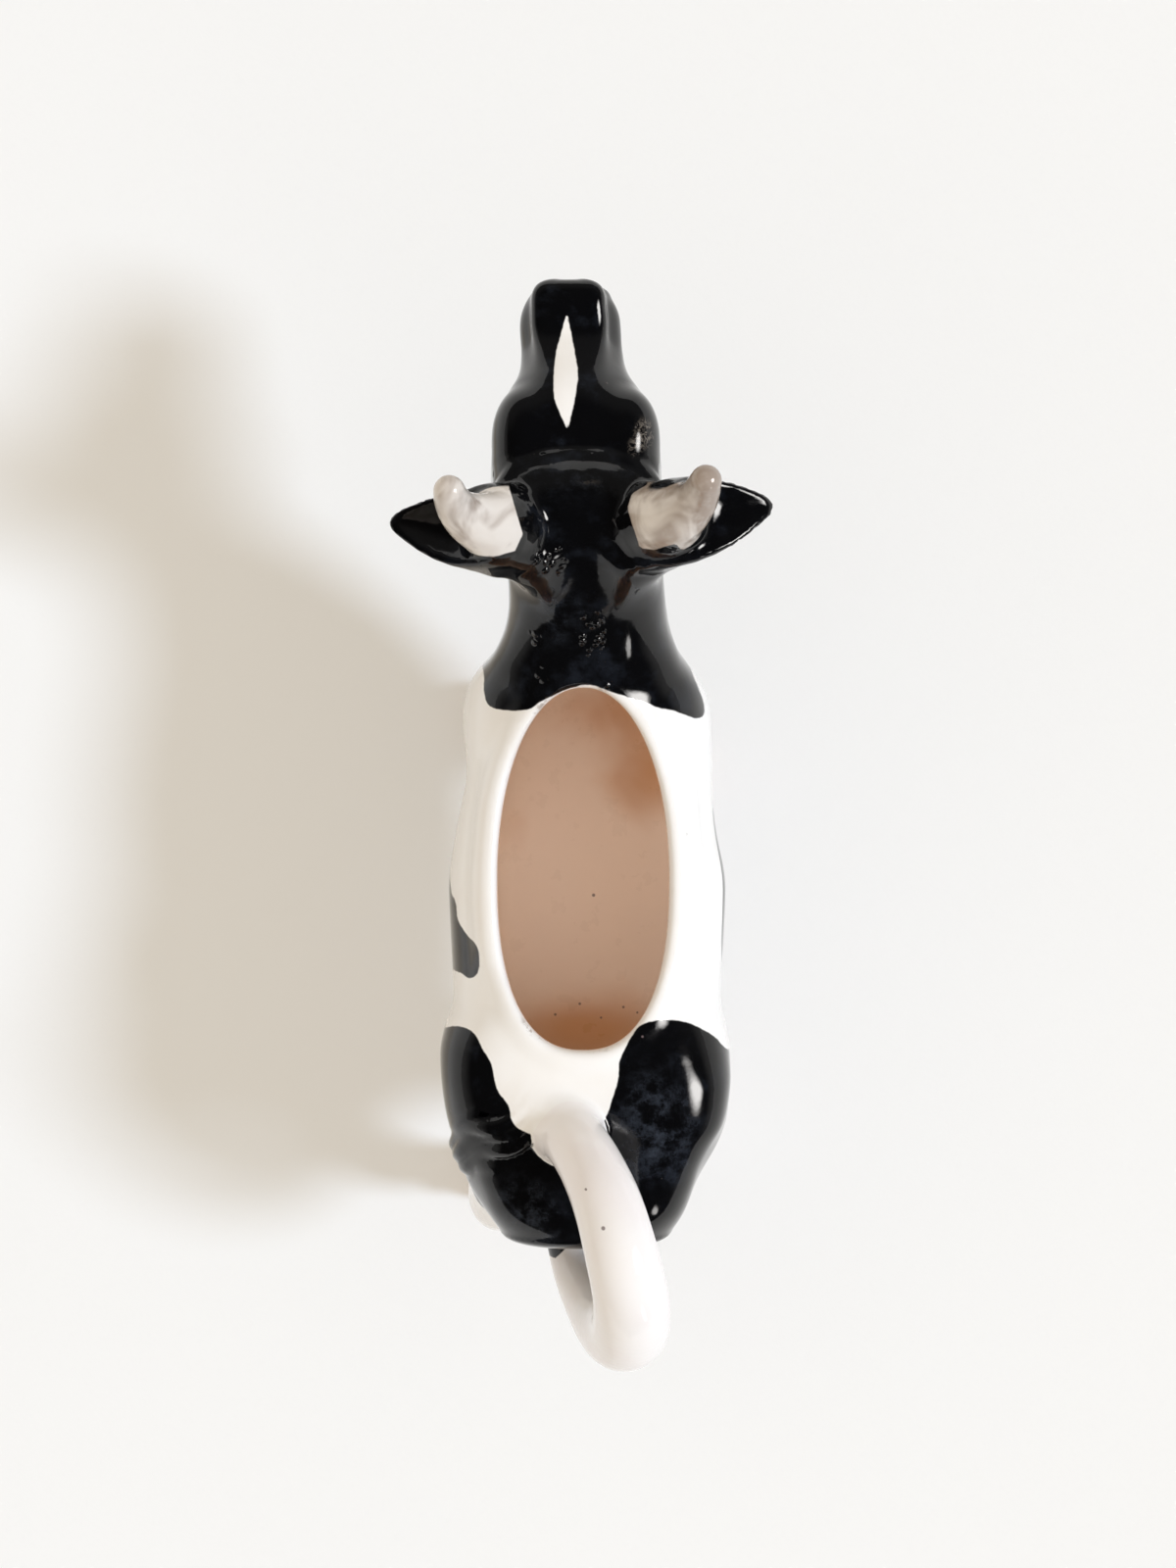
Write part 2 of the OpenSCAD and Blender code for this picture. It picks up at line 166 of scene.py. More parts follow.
TRUNK = Loft([
    (-72.5, -12.8, 13.8, 72.0, 45.6, 58, 2.6, 2.0), (-71.0, -14.6, 15.8, 73.5, 44.0, 58, 2.8, 2.0),
    (-69.0, -16.0, 17.2, 75.2, 41.8, 58, 3.1, 2.1), (-66, -17.5, 18.6, 76.9, 39.8, 58, 3.4, 2.1),
    (-62, -19.0, 19.9, 78.1, 38, 58, 3.5, 2.2), (-59, -20.1, 20.8, 78.7, 37.2, 58, 3.4, 2.2),
    (-55, -22.2, 22.8, 79.3, 36, 58, 3.2, 2.3), (-51, -24.0, 24.9, 80.0, 35.2, 58, 3.3, 2.3),
    (-47, -24.8, 25.8, 80.6, 34.6, 57, 3.4, 2.4), (-43, -25.2, 26.2, 80.9, 34.0, 57, 3.5, 2.4),
    (-39, -25.4, 26.1, 80.9, 33.4, 56, 3.4, 2.4), (-35, -24.7, 25.6, 80.7, 33.0, 56, 3.2, 2.4),
    (-30, -23.2, 24.7, 80.4, 32.6, 55, 2.8, 2.4),
    (-20, -23.7, 25.3, 79.3, 32.0, 55, 2.4, 2.4), (-10, -24.1, 25.7, 79.0, 31.8, 55, 2.4, 2.4),
    (0, -22.8, 24.0, 79.0, 32.2, 55, 2.4, 2.4), (10, -20.8, 22.8, 79.2, 33.2, 56, 2.4, 2.3),
    (18, -20.0, 22.2, 79.8, 34.4, 57, 2.4, 2.3), (24, -19.6, 21.2, 81.0, 35.8, 58, 2.3, 2.2),
    (28, -18.0, 19.0, 82.7, 37.4, 59, 2.6, 2.1), (32, -15.4, 16.8, 85.4, 39.8, 61, 2.65, 2.1),
    (36, -13.5, 15.2, 88.9, 43.0, 64, 2.8, 2.1), (40, -12.7, 14.3, 92.6, 47.0, 70, 3.1, 2.1),
    (43.5, -12.7, 13.8, 95.9, 51.5, 76, 3.2, 2.1), (46.5, -13.0, 13.3, 98.5, 57.0, 82, 3.1, 2.1),
    (49.5, -13.4, 12.8, 100.8, 63.0, 86, 2.7, 2.1), (52, -14.1, 12.8, 102.4, 67.5, 87, 2.4, 2.1),
    (54, -14.5, 12.8, 102.8, 69.8, 87, 2.4, 2.1), (56, -14.8, 12.8, 102.3, 70.8, 87, 2.4, 2.1),
    (58, -14.9, 12.9, 101.1, 71.4, 87, 2.5, 2.1), (60, -14.9, 12.8, 99.3, 71.8, 86.5, 2.6, 2.1),
    (62, -14.8, 12.7, 97.3, 72.1, 86, 2.5, 2.1), (63.2, -14.7, 12.6, 96.2, 72.2, 85.5, 2.4, 2.1),
    (64.2, -14.7, 12.5, 95.9, 72.2, 85.5, 2.4, 2.1),
    (66, -14.5, 12.3, 95.8, 72.2, 85, 2.7, 2.1), (68, -14.3, 12.0, 95.6, 72.1, 84.5, 3.0, 2.1),
    (70, -13.9, 11.6, 95.0, 72.0, 83.6, 3.3, 2.1), (72, -13.4, 11.0, 93.8, 71.9, 82.5, 3.4, 2.1),
    (74.5, -12.3, 9.7, 91.9, 71.8, 81.2, 3.2, 2.1), (77, -11.0, 8.1, 89.9, 71.7, 80.0, 2.8, 2.1),
    (79.5, -10.5, 7.2, 88.0, 71.7, 79.4, 2.3, 2.2),
    (83, -10.4, 6.7, 86.0, 71.7, 78.8, 2.0, 2.3), (86, -10.2, 6.1, 85.4, 72.0, 78.8, 2.1, 2.3),
    (87.5, -9.7, 5.4, 85.2, 72.3, 78.8, 2.1, 2.3),
], -71.0, 2.8, 86.4, 6.3, 0.8, power=2.1, square=0.42)

BRIDGE = Loft([
    (58, -12.5, 9.6, 94.6, 80, 88, 2.8, 2.0), (62, -12.3, 9.4, 95.9, 80, 88, 2.8, 2.0),
    (66, -11.6, 8.6, 96.5, 79, 87, 2.8, 2.0), (70, -10.5, 7.3, 96.1, 78, 86, 2.8, 2.0),
    (72.5, -9.4, 6.1, 95.3, 77, 85, 2.9, 2.0), (75, -8.8, 5.2, 93.8, 77, 84, 3.0, 2.0),
    (78, -8.3, 4.6, 91.6, 77, 83, 3.2, 2.0), (81, -8.3, 4.4, 89.6, 77, 82.5, 3.6, 2.0),
    (83.4, -8.5, 4.3, 88.4, 77, 82.5, 4.2, 2.0), (85.4, -8.7, 4.3, 88.1, 77, 82.5, 5.0, 2.0),
    (88.5, -8.7, 4.0, 88.6, 77, 82.5, 5.4, 2.0),
], 60, 9.0, 88.3, 4.8, 0.6, power=3.1)

TAN_NECK = math.tan(math.radians(20))


def neck_plane(P):
    return P[:, 1] - (33 - (P[:, 2] - 62) * TAN_NECK)


# ------------------------------------------------------------------ primitives
class Chain:
    """A tube through balls (x, y, z, r)."""

    def __init__(self, pts, sub=4, margin=9.0):
        q = spline(pts, sub)
        q[:, 3] = np.maximum(q[:, 3], 0.15)
        self.a, self.d = q[:-1, :3], np.diff(q[:, :3], axis=0)
        self.dd = np.maximum((self.d**2).sum(1), 1e-6)
        self.ra, self.dr = q[:-1, 3], np.diff(q[:, 3])
        self.lo = (q[:, :3] - q[:, 3:]).min(0) - margin
        self.hi = (q[:, :3] + q[:, 3:]).max(0) + margin

    def __call__(self, P):
        out = np.full(len(P), 30.0)
        m = np.flatnonzero(((P > self.lo) & (P < self.hi)).all(1))
        if len(m) == 0:
            return out
        p = P[m]
        best = np.full(len(m), 30.0)
        for a, d, dd, ra, dr in zip(self.a, self.d, self.dd, self.ra, self.dr):
            px, py, pz = p[:, 0] - a[0], p[:, 1] - a[1], p[:, 2] - a[2]
            t = np.clip((px * d[0] + py * d[1] + pz * d[2]) / dd, 0, 1)
            px -= t * d[0]
            py -= t * d[1]
            pz -= t * d[2]
            np.minimum(best, np.sqrt(px * px + py * py + pz * pz) - (ra + t * dr), out=best)
        out[m] = best
        return out


def ellipsoid(P, c, r, turn=None):
    q = P - np.asarray(c, float)
    if turn is not None:
        q = q @ turn
    r = np.asarray(r, float)
    k0 = np.sqrt(((q / r) ** 2).sum(1)) + 1e-6
    k1 = np.sqrt(((q / r**2) ** 2).sum(1)) + 1e-9
    return k0 * (k0 - 1) / k1


def axes(n, a):
    """Columns: a made square to n, n x a, n."""
    n = np.asarray(n, float)
    n /= np.linalg.norm(n)
    a = np.asarray(a, float)
    a = a - n * (a @ n)
    a /= np.linalg.norm(a)
    return np.stack([a, np.cross(n, a), n], 1)


class Ear:
    """A cupped leaf from base to tip; face is the way the cup looks."""

    T = np.array([-0.25, 0.0, .14, .30, .46, .60, .74, .86, .95, 1.0, 1.2])
    W = np.array([2.2, 2.9, 4.5, 5.6, 6.0, 5.7, 4.6, 3.2, 2.0, 1.3, 0.8])
    C = np.array([0.8, 1.0, 1.8, 2.4, 2.5, 2.2, 1.7, 1.1, 0.6, 0.4, 0.2])

    def __init__(self, base, tip, face, bow, arch):
        self.arch = arch
        self.base = np.asarray(base, float)
        a = np.asarray(tip, float) - self.base
        self.length = np.linalg.norm(a)
        self.a = a / self.length
        n = np.asarray(face, float)
        n = n - self.a * (n @ self.a)
        self.n = n / np.linalg.norm(n)
        self.w = np.cross(self.n, self.a)
        self.bow = bow
        self.lo = np.minimum(base, tip) - 14.0
        self.hi = np.maximum(base, tip) + 14.0

    def __call__(self, P):
        out = np.full(len(P), 30.0)
        m = np.flatnonzero(((P > self.lo) & (P < self.hi)).all(1))
        if len(m) == 0:
            return out
        p = P[m] - self.base
        s = p @ self.a
        t = s / self.length
        width = np.interp(t, self.T, self.W)
        cup = np.interp(t, self.T, self.C)
        q = p @ self.w - self.bow * np.sin(np.clip(t, 0, 1) * math.pi)
        e = q / width
        mid = -cup * (1 - np.minimum(e * e, 1.4)) + self.arch * np.sin(np.clip(t, 0, 1) * math.pi)
        slope = 2 * cup * np.clip(e, -1.2, 1.2) / width
        thick = np.interp(t, [0, .5, 1], [1.55, 1.15, .95])
        f = (np.abs(p @ self.n - mid) - thick) / np.sqrt(1 + slope * slope)
        f = smax(f, np.abs(q) - width, 1.7)
        f = smax(f, s - self.length - 0.4, 1.9)
        f = smax(f, -s - 4.0, 2.0)
        # rolled root of the ear
        root = np.sqrt((p @ self.w * 0.62) ** 2 + (p @ self.n + 1.7) ** 2 + (np.maximum(s - 1.0, 0) * 0.8) ** 2) - 1.9
        out[m] = smin(f, smax(root, -s - 4.0, 2.0), 4.0)
        return out


# ------------------------------------------------------------------ parts
HORN_L = Chain([(-11.8, 50.6, 99.8, 5.7), (-13.2, 50.1, 102.4, 5.4), (-14.9, 49.8, 105.0, 4.9), (-17.2, 50.0, 107.9, 4.25),
                (-19.1, 51.0, 111.2, 3.4), (-20.1, 52.3, 114.5, 2.85), (-20.4, 53.4, 117.2, 2.45)], 5)
HORN_R = Chain([(11.2, 51.0, 99.8, 5.7), (12.6, 50.8, 102.4, 5.35), (14.2, 50.6, 105.0, 4.85), (16.0, 51.2, 107.9, 4.2),
                (17.8, 52.6, 111.2, 3.4), (18.7, 54.0, 114.5, 2.85), (19.1, 55.0, 117.2, 2.45)], 5)
EAR_L = Ear((-11.5, 46.9, 96.6), (-31.0, 50.7, 100.2), (-.05, .26, .96), -0.5, 0.8)
EAR_R = Ear((11.0, 47.3, 96.6), (30.9, 53.6, 98.4), (.05, -.05, 1.0), 1.2, 4.2)

TAIL = Chain([
    (-1.6, -64, 50.5, 6.6), (-1.2, -70, 50.4, 6.2), (-.6, -75.3, 51.6, 5.9), (.7, -80.2, 55.6, 5.8), (2.8, -83.9, 62.6, 5.9),
    (4.9, -85.6, 70.8, 6.25), (6.8, -85.2, 79, 6.5), (8.1, -82.1, 87, 6.5), (8.0, -75.9, 93.5, 6.3), (6.4, -68.2, 96.4, 6.0),
    (4.2, -60.8, 93.8, 5.7), (1.6, -55.6, 88.8, 5.4), (-1.0, -52.2, 83.6, 5.3), (-3.0, -50.6, 78.8, 5.6)], 9)

TUFT_PATH = np.array([
    (-7.4, -46.6, 80.0, 2.6), (-10.4, -48.2, 79.4, 3.9), (-13.8, -49.6, 77.2, 4.9), (-17.0, -51.0, 73.8, 5.4),
    (-19.4, -52.6, 69.2, 5.4), (-20.3, -54.4, 64.0, 5.0), (-19.8, -56.4, 58.6, 4.4), (-19.0, -58.4, 53.8, 3.5),
    (-18.4, -59.9, 49.8, 2.6), (-18.0, -60.9, 46.9, 1.7)])


def tuft_locks():
    """Wavy locks side by side along the path of the switch."""
    path = spline(TUFT_PATH, 5)
    c, r = path[:, :3], path[:, 3]
    tan = np.gradient(c, axis=0)
    tan /= np.linalg.norm(tan, axis=1)[:, None]
    out = (c - np.array([0, 0, 56.0])) * [1, 0, 1]
    out[:, 1] = -0.10 * np.linalg.norm(out, axis=1)
    out -= tan * (out * tan).sum(1)[:, None]
    out /= np.linalg.norm(out, axis=1)[:, None]
    side = np.cross(tan, out)
    s = np.linspace(0, 1, len(c))
    locks = []
    for off, lift, thick, phase, wave, turns, s0, s1 in (
            (-1.16, -0.10, 0.26, 0.4, 0.55, 2.6, 0.10, 0.74), (-0.78, 0.10, 0.30, 1.5, 0.70, 2.9, 0.00, 0.86),
            (-0.36, 0.22, 0.31, 2.3, 0.75, 2.7, 0.02, 0.95), (0.06, 0.27, 0.30, 0.9, 0.80, 3.0, 0.00, 1.00),
            (0.46, 0.20, 0.30, 3.6, 0.75, 2.8, 0.05, 0.97), (0.86, 0.04, 0.29, 2.9, 0.65, 2.6, 0.09, 0.88),
            (1.20, -0.16, 0.25, 4.4, 0.50, 2.4, 0.20, 0.78)):
        keep = (s >= s0) & (s <= s1)
        u = (s[keep] - s0) / (s1 - s0)
        taper = np.clip(np.minimum(u / 0.20 + 0.25, (1 - u) / 0.26 + 0.10), 0, 1)
        sway = wave * np.sin(2 * math.pi * (s[keep] * turns) + phase)
        heave = 0.42 * np.cos(2 * math.pi * (s[keep] * turns) + phase * 1.7)
        rr = r[keep]
        pos = c[keep] + side[keep] * (off * rr + sway)[:, None] + out[keep] * (lift * rr + heave - 0.12)[:, None]
        locks.append(Chain(np.hstack([pos, (thick * 1.10 * rr * taper + 0.26)[:, None]]), 2))
    return locks


LOCKS = tuft_locks()
TUFT_CORE = Chain([(x + 1.6, y + 0.2, z - 2.2, r * 0.75) for x, y, z, r in TUFT_PATH], 2)

FEET = {"FL": (-15.8, 22.0), "FR": (18.4, 11.0), "RL": (-16.2, -72.2), "RR": (18.0, -58.0)}


def leg_chain(key):
    fx, fy = FEET[key]
    s = -1 if key[1] == "L" else 1
    if key[0] == "F":
        rows = [(s * 11.6 + .8, fy - .5, 56, 8.8), (s * 12.8 + .8, fy - .5, 48, 8.6), (fx - s * 1.4, fy - .6, 38, 7.2),
                (fx - s * .4, fy - .4, 30, 6.0), (fx, fy + .2, 25, 5.5), (fx, fy + .6, 21.5, 5.4), (fx, fy + .4, 18, 4.95),
                (fx, fy, 14, 4.6), (fx, fy, 11, 4.65), (fx, fy + .2, 8.4, 5.0)]
    else:
        hy = -57 if s < 0 else -51
        rows = [(s * 12.0 + .8, hy, 60, 10.0 if s < 0 else 11.2), (s * 12.2 + .8, hy - 2, 50, 10.2 if s < 0 else 10.8), (s * 13.6 + .6, (hy + fy) / 2, 40, 8.6),
                (fx - s * .8, fy + 2.0, 31, 6.5), (fx - s * .2, fy - .3, 26, 5.6), (fx, fy - .9, 22.5, 5.4), (fx, fy - .5, 18.5, 5.0),
                (fx, fy, 14, 4.6), (fx, fy, 11, 4.65), (fx, fy + .2, 8.4, 5.0)]
    return Chain(rows, 8)


LEGS = {k: leg_chain(k) for k in FEET}


def leg(P, key):
    fx, fy = FEET[key]
    d = LEGS[key](P)
    m = np.flatnonzero((np.abs(P[:, 0] - fx) < 14) & (np.abs(P[:, 1] - fy) < 14) & (P[:, 2] < 24))
    if len(m):
        p = P[m] - np.array([fx, fy + 0.25, 0.0])
        z = p[:, 2]
        # hoof: a short flared cone, a little longer to the front
        grow = 5.15 + 1.15 * np.clip((8.2 - z) / 8.2, 0, 1.1)
        ry = grow * np.where(p[:, 1] > 0, 1.07, 0.98)
        rad = np.sqrt((p[:, 0] / grow) ** 2 + (p[:, 1] / ry) ** 2) + 1e-6
        hoof = (rad - 1) * grow * 0.97
        hoof = smax(hoof, z - 7.9, 1.6)
        both = smin(d[m], hoof, 2.4)
        # cleft in front and a shorter one behind
        cleft = np.maximum(np.abs(p[:, 0]) - 0.62 + 0.05 * z, (4.2 - p[:, 1]) * 0.8 - 0.12 * (8.6 - z))
        back = np.maximum(np.abs(p[:, 0]) - 0.5 + 0.06 * z, p[:, 1] + 4.8)
        cleft = smax(cleft, z - 8.4, 1.2)
        back = smax(back, z - 5.0, 1.0)
        both = smax(both, -cleft, 1.1)
        both = smax(both, -back, 1.0)
        # dewclaws
        for s in (-1, 1):
            q = p - np.array([s * 2.5, -4.3, 11.2])
            both = smin(both, np.sqrt((q**2).sum(1)) - 1.3, 1.8)
        d[m] = both
    return d


TEATS = [Chain([(.8 + sx * 4, y, 33, 2.5), (.8 + sx * 4.2, y, 28.5, 2.1), (.8 + sx * 4.4, y, 25.6, 1.7), (.8 + sx * 4.5, y, 24.4, 1.2)], 2)
         for sx in (-1, 1) for y in (-50, -42.4)]


def udder(P):
    out = np.full(len(P), 30.0)
    m = np.flatnonzero((np.abs(P[:, 0]) < 22) & (np.abs(P[:, 1] + 45) < 22) & (P[:, 2] < 50))
    if len(m):
        p = P[m]
        d = smin(ellipsoid(p, (-3.1, -45.8, 36), (7.0, 10.6, 8.2)), ellipsoid(p, (4.7, -45.8, 36), (7.0, 10.6, 8.2)), 2.2)
        for t in TEATS:
            d = smin(d, t(p), 1.8)
        out[m] = d
    return out


# opening in the back
OX, OY, OA, OF, OR_ = 0.1, -8.0, 14.8, 32.65, 28.95


def oval(P):
    """Signed distance in plan to the edge of the opening, with the nearest edge point."""
    x, y = P[:, 0] - OX, P[:, 1] - OY
    fwd = y > 0
    b = np.where(fwd, OF, OR_)
    n = np.where(fwd, 2.1, 2.4)
    u, v = np.maximum(np.abs(x / OA), 1e-6), np.maximum(np.abs(y / b), 1e-6)
    r = np.maximum((u**n + v**n) ** (1 / n), 1e-4)
    gx = (u / r) ** (n - 1) / OA
    gy = (v / r) ** (n - 1) / b
    d = (r - 1) / np.sqrt(gx * gx + gy * gy)
    return d, OX + x / r, OY + y / r


def mouth2d(P):
    x, z = P[:, 0] + 1.8, P[:, 2] - 79.2
    u, v = np.maximum(np.abs(x / 4.9), 1e-6), np.maximum(np.abs(z / 3.2), 1e-6)
    r = np.maximum((u**2.2 + v**2.2) ** (1 / 2.2), 1e-4)
    gx, gz = (u / r) ** 1.2 / 4.9, (v / r) ** 1.2 / 3.2
    return (r - 1) / np.sqrt(gx * gx + gz * gz)


THROAT = Chain([(.7, 26, 58, 12.5), (.5, 34, 64, 10.0), (.3, 42, 73, 8.8), (-.2, 49, 82, 8.2), (-.8, 56, 85.6, 7.6),
                (-1.2, 63, 84.4, 6.4), (-1.6, 70, 81.6, 4.8), (-1.8, 78, 79.6, 3.4)], 3)


def cavity(P):
    """Positive in clay, negative in the hollow."""
    m = P[:, 1] < 44
    c = np.full(len(P), 30.0)
    if m.any():
        p = P[m]
        inner = TRUNK(p) + 3.7
        inner = smax(inner, p[:, 1] - 33.0, 6.0)
        inner = smax(inner, 38.6 - p[:, 2], 5.0)
        d, _, _ = oval(p)
        prism = smax(d, 62 - p[:, 2], 4.0)
        c[m] = smin(inner, prism, 2.5)
    c = smin(c, THROAT(P), 5.0)
    h = P[:, 1] > 60
    if h.any():
        p = P[h]
        e = mouth2d(p)
        flare = np.maximum(p[:, 1] - 89.5, 0) * 0.16
        c[h] = smin(c[h], smax(e - flare, 68 - p[:, 1], 4.0), 3.0)
    return c


# head details
FRINGE = Chain([(x, y, float(TRUNK.top(np.array([x]), np.array([y]))[0]) - 1.85, 1.5) for x, y in (
    (-12.2, 56.6), (-11.2, 58.2), (-9.6, 59.6), (-5.6, 60.7), (-1.5, 61.2), (2.6, 61.0), (6.6, 60.4), (9.4, 59.0), (11.0, 56.8))], 3)
RIDGES = [Chain([(s * 15.6 + .7, -26, 72.4, 2.0), (s * 15.8 + .7, -19, 72.6, 3.2), (s * 15.8 + .7, -8, 72.2, 3.6),
                 (s * 15.0 + .8, 5, 72.0, 3.4), (s * 13.8 + .9, 12, 71.6, 2.7), (s * 12.6 + .9, 17, 70.6, 1.6)], 3) for s in (-1, 1)]
TAIL_SWEEP = Chain([(-1.4, -52.4, 78.8, 3.4), (-2.0, -51.2, 79.4, 4.0), (-4.0, -49.4, 79.2, 4.2), (-8.0, -47.2, 77.8, 3.8), (-11.6, -45.0, 75.8, 3.0)], 3)


def eye_frame(s):
    """Centre of an eye and its axes: along the lids, across them, out of the head. s is the side."""
    return np.array([s * 12.3 - 1.2, 65.2, 87.0]), axes((s * .95, .28, .02), (-s * .28, .95, .10))


def head_shape(P, d):
    """Adds the modelled features of the head to the trunk distance d, for points at the head."""
    d = smin(d, BRIDGE(P), 1.9)
    for s, x in ((-1, -9.9), (1, 7.8)):
        d = smin(d, ellipsoid(P, (x, 65.2, 90.7), (4.6, 7.4, 6.2)), 3.2)          # brow
        d = smin(d, ellipsoid(P, (x + s * 0.6, 59.5, 81.0), (4.4, 9.5, 8.2)), 3.0)    # cheek
        # eye in its socket
        e, turn = eye_frame(s)
        q = (P - e) @ turn
        socket = np.sqrt((q[:, 0] / 1.45) ** 2 + q[:, 1] ** 2 + (q[:, 2] * 1.0) ** 2) - 2.55
        ball = np.sqrt((q[:, 0] / 1.25) ** 2 + q[:, 1] ** 2 + (q[:, 2] + 0.75) ** 2) - 2.35
        ring = np.sqrt((np.sqrt((q[:, 0] / 1.38) ** 2 + (q[:, 1] / 0.98) ** 2) - 2.5) ** 2 + (q[:, 2] + 0.2) ** 2) - 0.6
        d = smax(d, -socket, 1.0)
        d = smin(d, ball, 0.4)
        d = smin(d, ring + np.where(q[:, 1] > 0, 0, .12), 0.9)
        # nostril: a comma in the front of the nose pad
        n = np.array([-2.35 + s * 3.6, 92.35, 84.0])
        q = (P - n) @ axes((s * .35, .93, .0), (0.25 * s, 0, 1))
        rim = np.sqrt((np.sqrt((q[:, 0] / 1.25) ** 2 + q[:, 1] ** 2) - 1.3) ** 2 + (q[:, 2] + .75) ** 2) - 0.6
        d = smin(d, rim, 1.2)
        pit = np.sqrt((q[:, 0] / 1.3) ** 2 + q[:, 1] ** 2 + (q[:, 2] * .5) ** 2) - 0.85
        d = smax(d, -pit, 0.7)
        # lobes of the lips
        d = smin(d, ellipsoid(P, (-2.1 + s * 3.9, 86.6, 80.0), (4.1, 5.1, 4.4)), 2.2)
    # the forelock, combed forward in faint strands
    fan = np.arctan2(P[:, 0] + 0.8, 22.0 - (P[:, 1] - 60)) * 22.0
    comb = np.sin(fan * 1.35 + 0.9 * np.sin(fan * 0.55)) * 0.05 * np.clip((P[:, 1] - 54) / 5, 0, 1)
    d = smin(d + np.where((P[:, 1] < 62) & (P[:, 2] > 92), comb, 0.0), FRINGE(P) + comb, 1.1)
    # lips round the mouth
    lip = np.sqrt(mouth2d(P) ** 2 + (P[:, 1] - 91.5) ** 2) - 1.25
    d = smin(d, np.where(P[:, 1] > 84, lip, 30.0), 1.6)
    # chin
    d = smin(d, ellipsoid(P, (-1.8, 86.6, 75.4), (6.2, 5.6, 3.8)), 2.6)
    return d


def trunk(P):
    d = TRUNK(P)
    head = np.flatnonzero(P[:, 1] > 40)
    if len(head):
        d[head] = head_shape(P[head], d[head])
    body = np.flatnonzero(P[:, 1] < 44)
    if len(body):
        p = P[body]
        b = d[body]
        for s in (-1, 1):
            b = smin(b, ellipsoid(p, (s * 12.4 + .8, 19.0, 56), (8.8, 12.0, 18.0)), 4.0)         # shoulder
        for r in RIDGES:
            b = smin(b, r(p), 3.2)
        b = smin(b, TAIL_SWEEP(p), 3.0)
        # belly line and brisket
        b = smin(b, ellipsoid(p, (.8, 26.5, 47), (8.2, 10.5, 12.5)), 7.0)
        # the collar round the opening
        o, ox, oy = oval(p)
        near = np.flatnonzero((np.abs(o) < 9) & (p[:, 2] > 66) & (p[:, 2] < 92))
        if len(near):
            zl = TRUNK.top(ox[near], oy[near]) - 1.25 - 0.5 * np.clip((oy[near] - 12) / 10, 0, 1)
            for px, py in ((10.5, -31.0), (9.0, 20.0)):
                zl -= 1.1 * np.exp(-(((ox[near] - px) / 4.5) ** 2 + ((oy[near] - py) / 5.0) ** 2))
            bead = np.sqrt((o[near] - 1.3) ** 2 + (p[near, 2] - zl) ** 2) - 1.6
            b[near] = smin(b[near], bead, 2.5)
        d[body] = b
    return d


LABELS = ["trunk", "horn_left", "horn_right", "ear_left", "ear_right", "front_left_leg", "front_right_leg",
          "rear_left_leg", "rear_right_leg", "udder", "tail_handle", "tail_tuft"]
BLEND = [0, 1.6, 1.6, 7.0, 7.0, 4.5, 4.5, 4.5, 4.5, 3.0, 2.0, 0.8]


def tuft(P):
    out = np.full(len(P), 30.0)
    m = np.flatnonzero((P[:, 0] < 6) & (P[:, 1] < -34) & (P[:, 1] > -76) & (P[:, 2] > 36))
    if len(m):
        p = P[m]
        d = TUFT_CORE(p)
        for k in LOCKS:
            d = smin(d, k(p), 0.32)
        out[m] = d
    return out


def distances(P):
    D = np.empty((len(P), 12))
    D[:, 0] = trunk(P)
    D[:, 1] = HORN_L(P)
    D[:, 2] = HORN_R(P)
    D[:, 3] = EAR_L(P)
    D[:, 4] = EAR_R(P)
    for i, k in enumerate(("FL", "FR", "RL", "RR")):
        D[:, 5 + i] = leg(P, k)
    D[:, 9] = udder(P)
    D[:, 10] = TAIL(P)
    D[:, 11] = tuft(P)
    return D


def outer_from(D):
    f = D[:, 0].copy()
    for i in range(1, 12):
        f = smin(f, D[:, i], BLEND[i])
    return f


def field_chunk(P):
    f = outer_from(distances(P))
    f = smax(f, -P[:, 2], 0.7)
    m = f > -14
    out = np.maximum(f, -cavity(P)) if not m.any() else f
    c = cavity(P)
    return smax(out, -c, 1.7)


def run(fn, P, size=24000):
    parts = [P[i:i + size] for i in range(0, len(P), size)]
    if not parts:
        return fn(P)
    with ThreadPoolExecutor(4) as ex:
        return np.concatenate(list(ex.map(fn, parts)))


def field(P):
    return run(field_chunk, P)


TET = np.array([(1, -1, -1), (-1, -1, 1), (-1, 1, -1), (1, 1, 1)], float)


def gradient(P, e=0.04):
    f = [field(P + t * e) for t in TET]
    return sum(t[None, :] * v[:, None] for t, v in zip(TET, f)) / (4 * e)


def project(P, steps=2, cap=0.6):
    P = P.copy()
    for _ in range(steps):
        f = field(P)
        g = gradient(P)
        n2 = np.maximum((g * g).sum(1), 0.05)
        step = -(f / n2)[:, None] * g
        ln = np.linalg.norm(step, axis=1)
        step *= np.minimum(1, cap / np.maximum(ln, 1e-9))[:, None]
        P += step
    return P


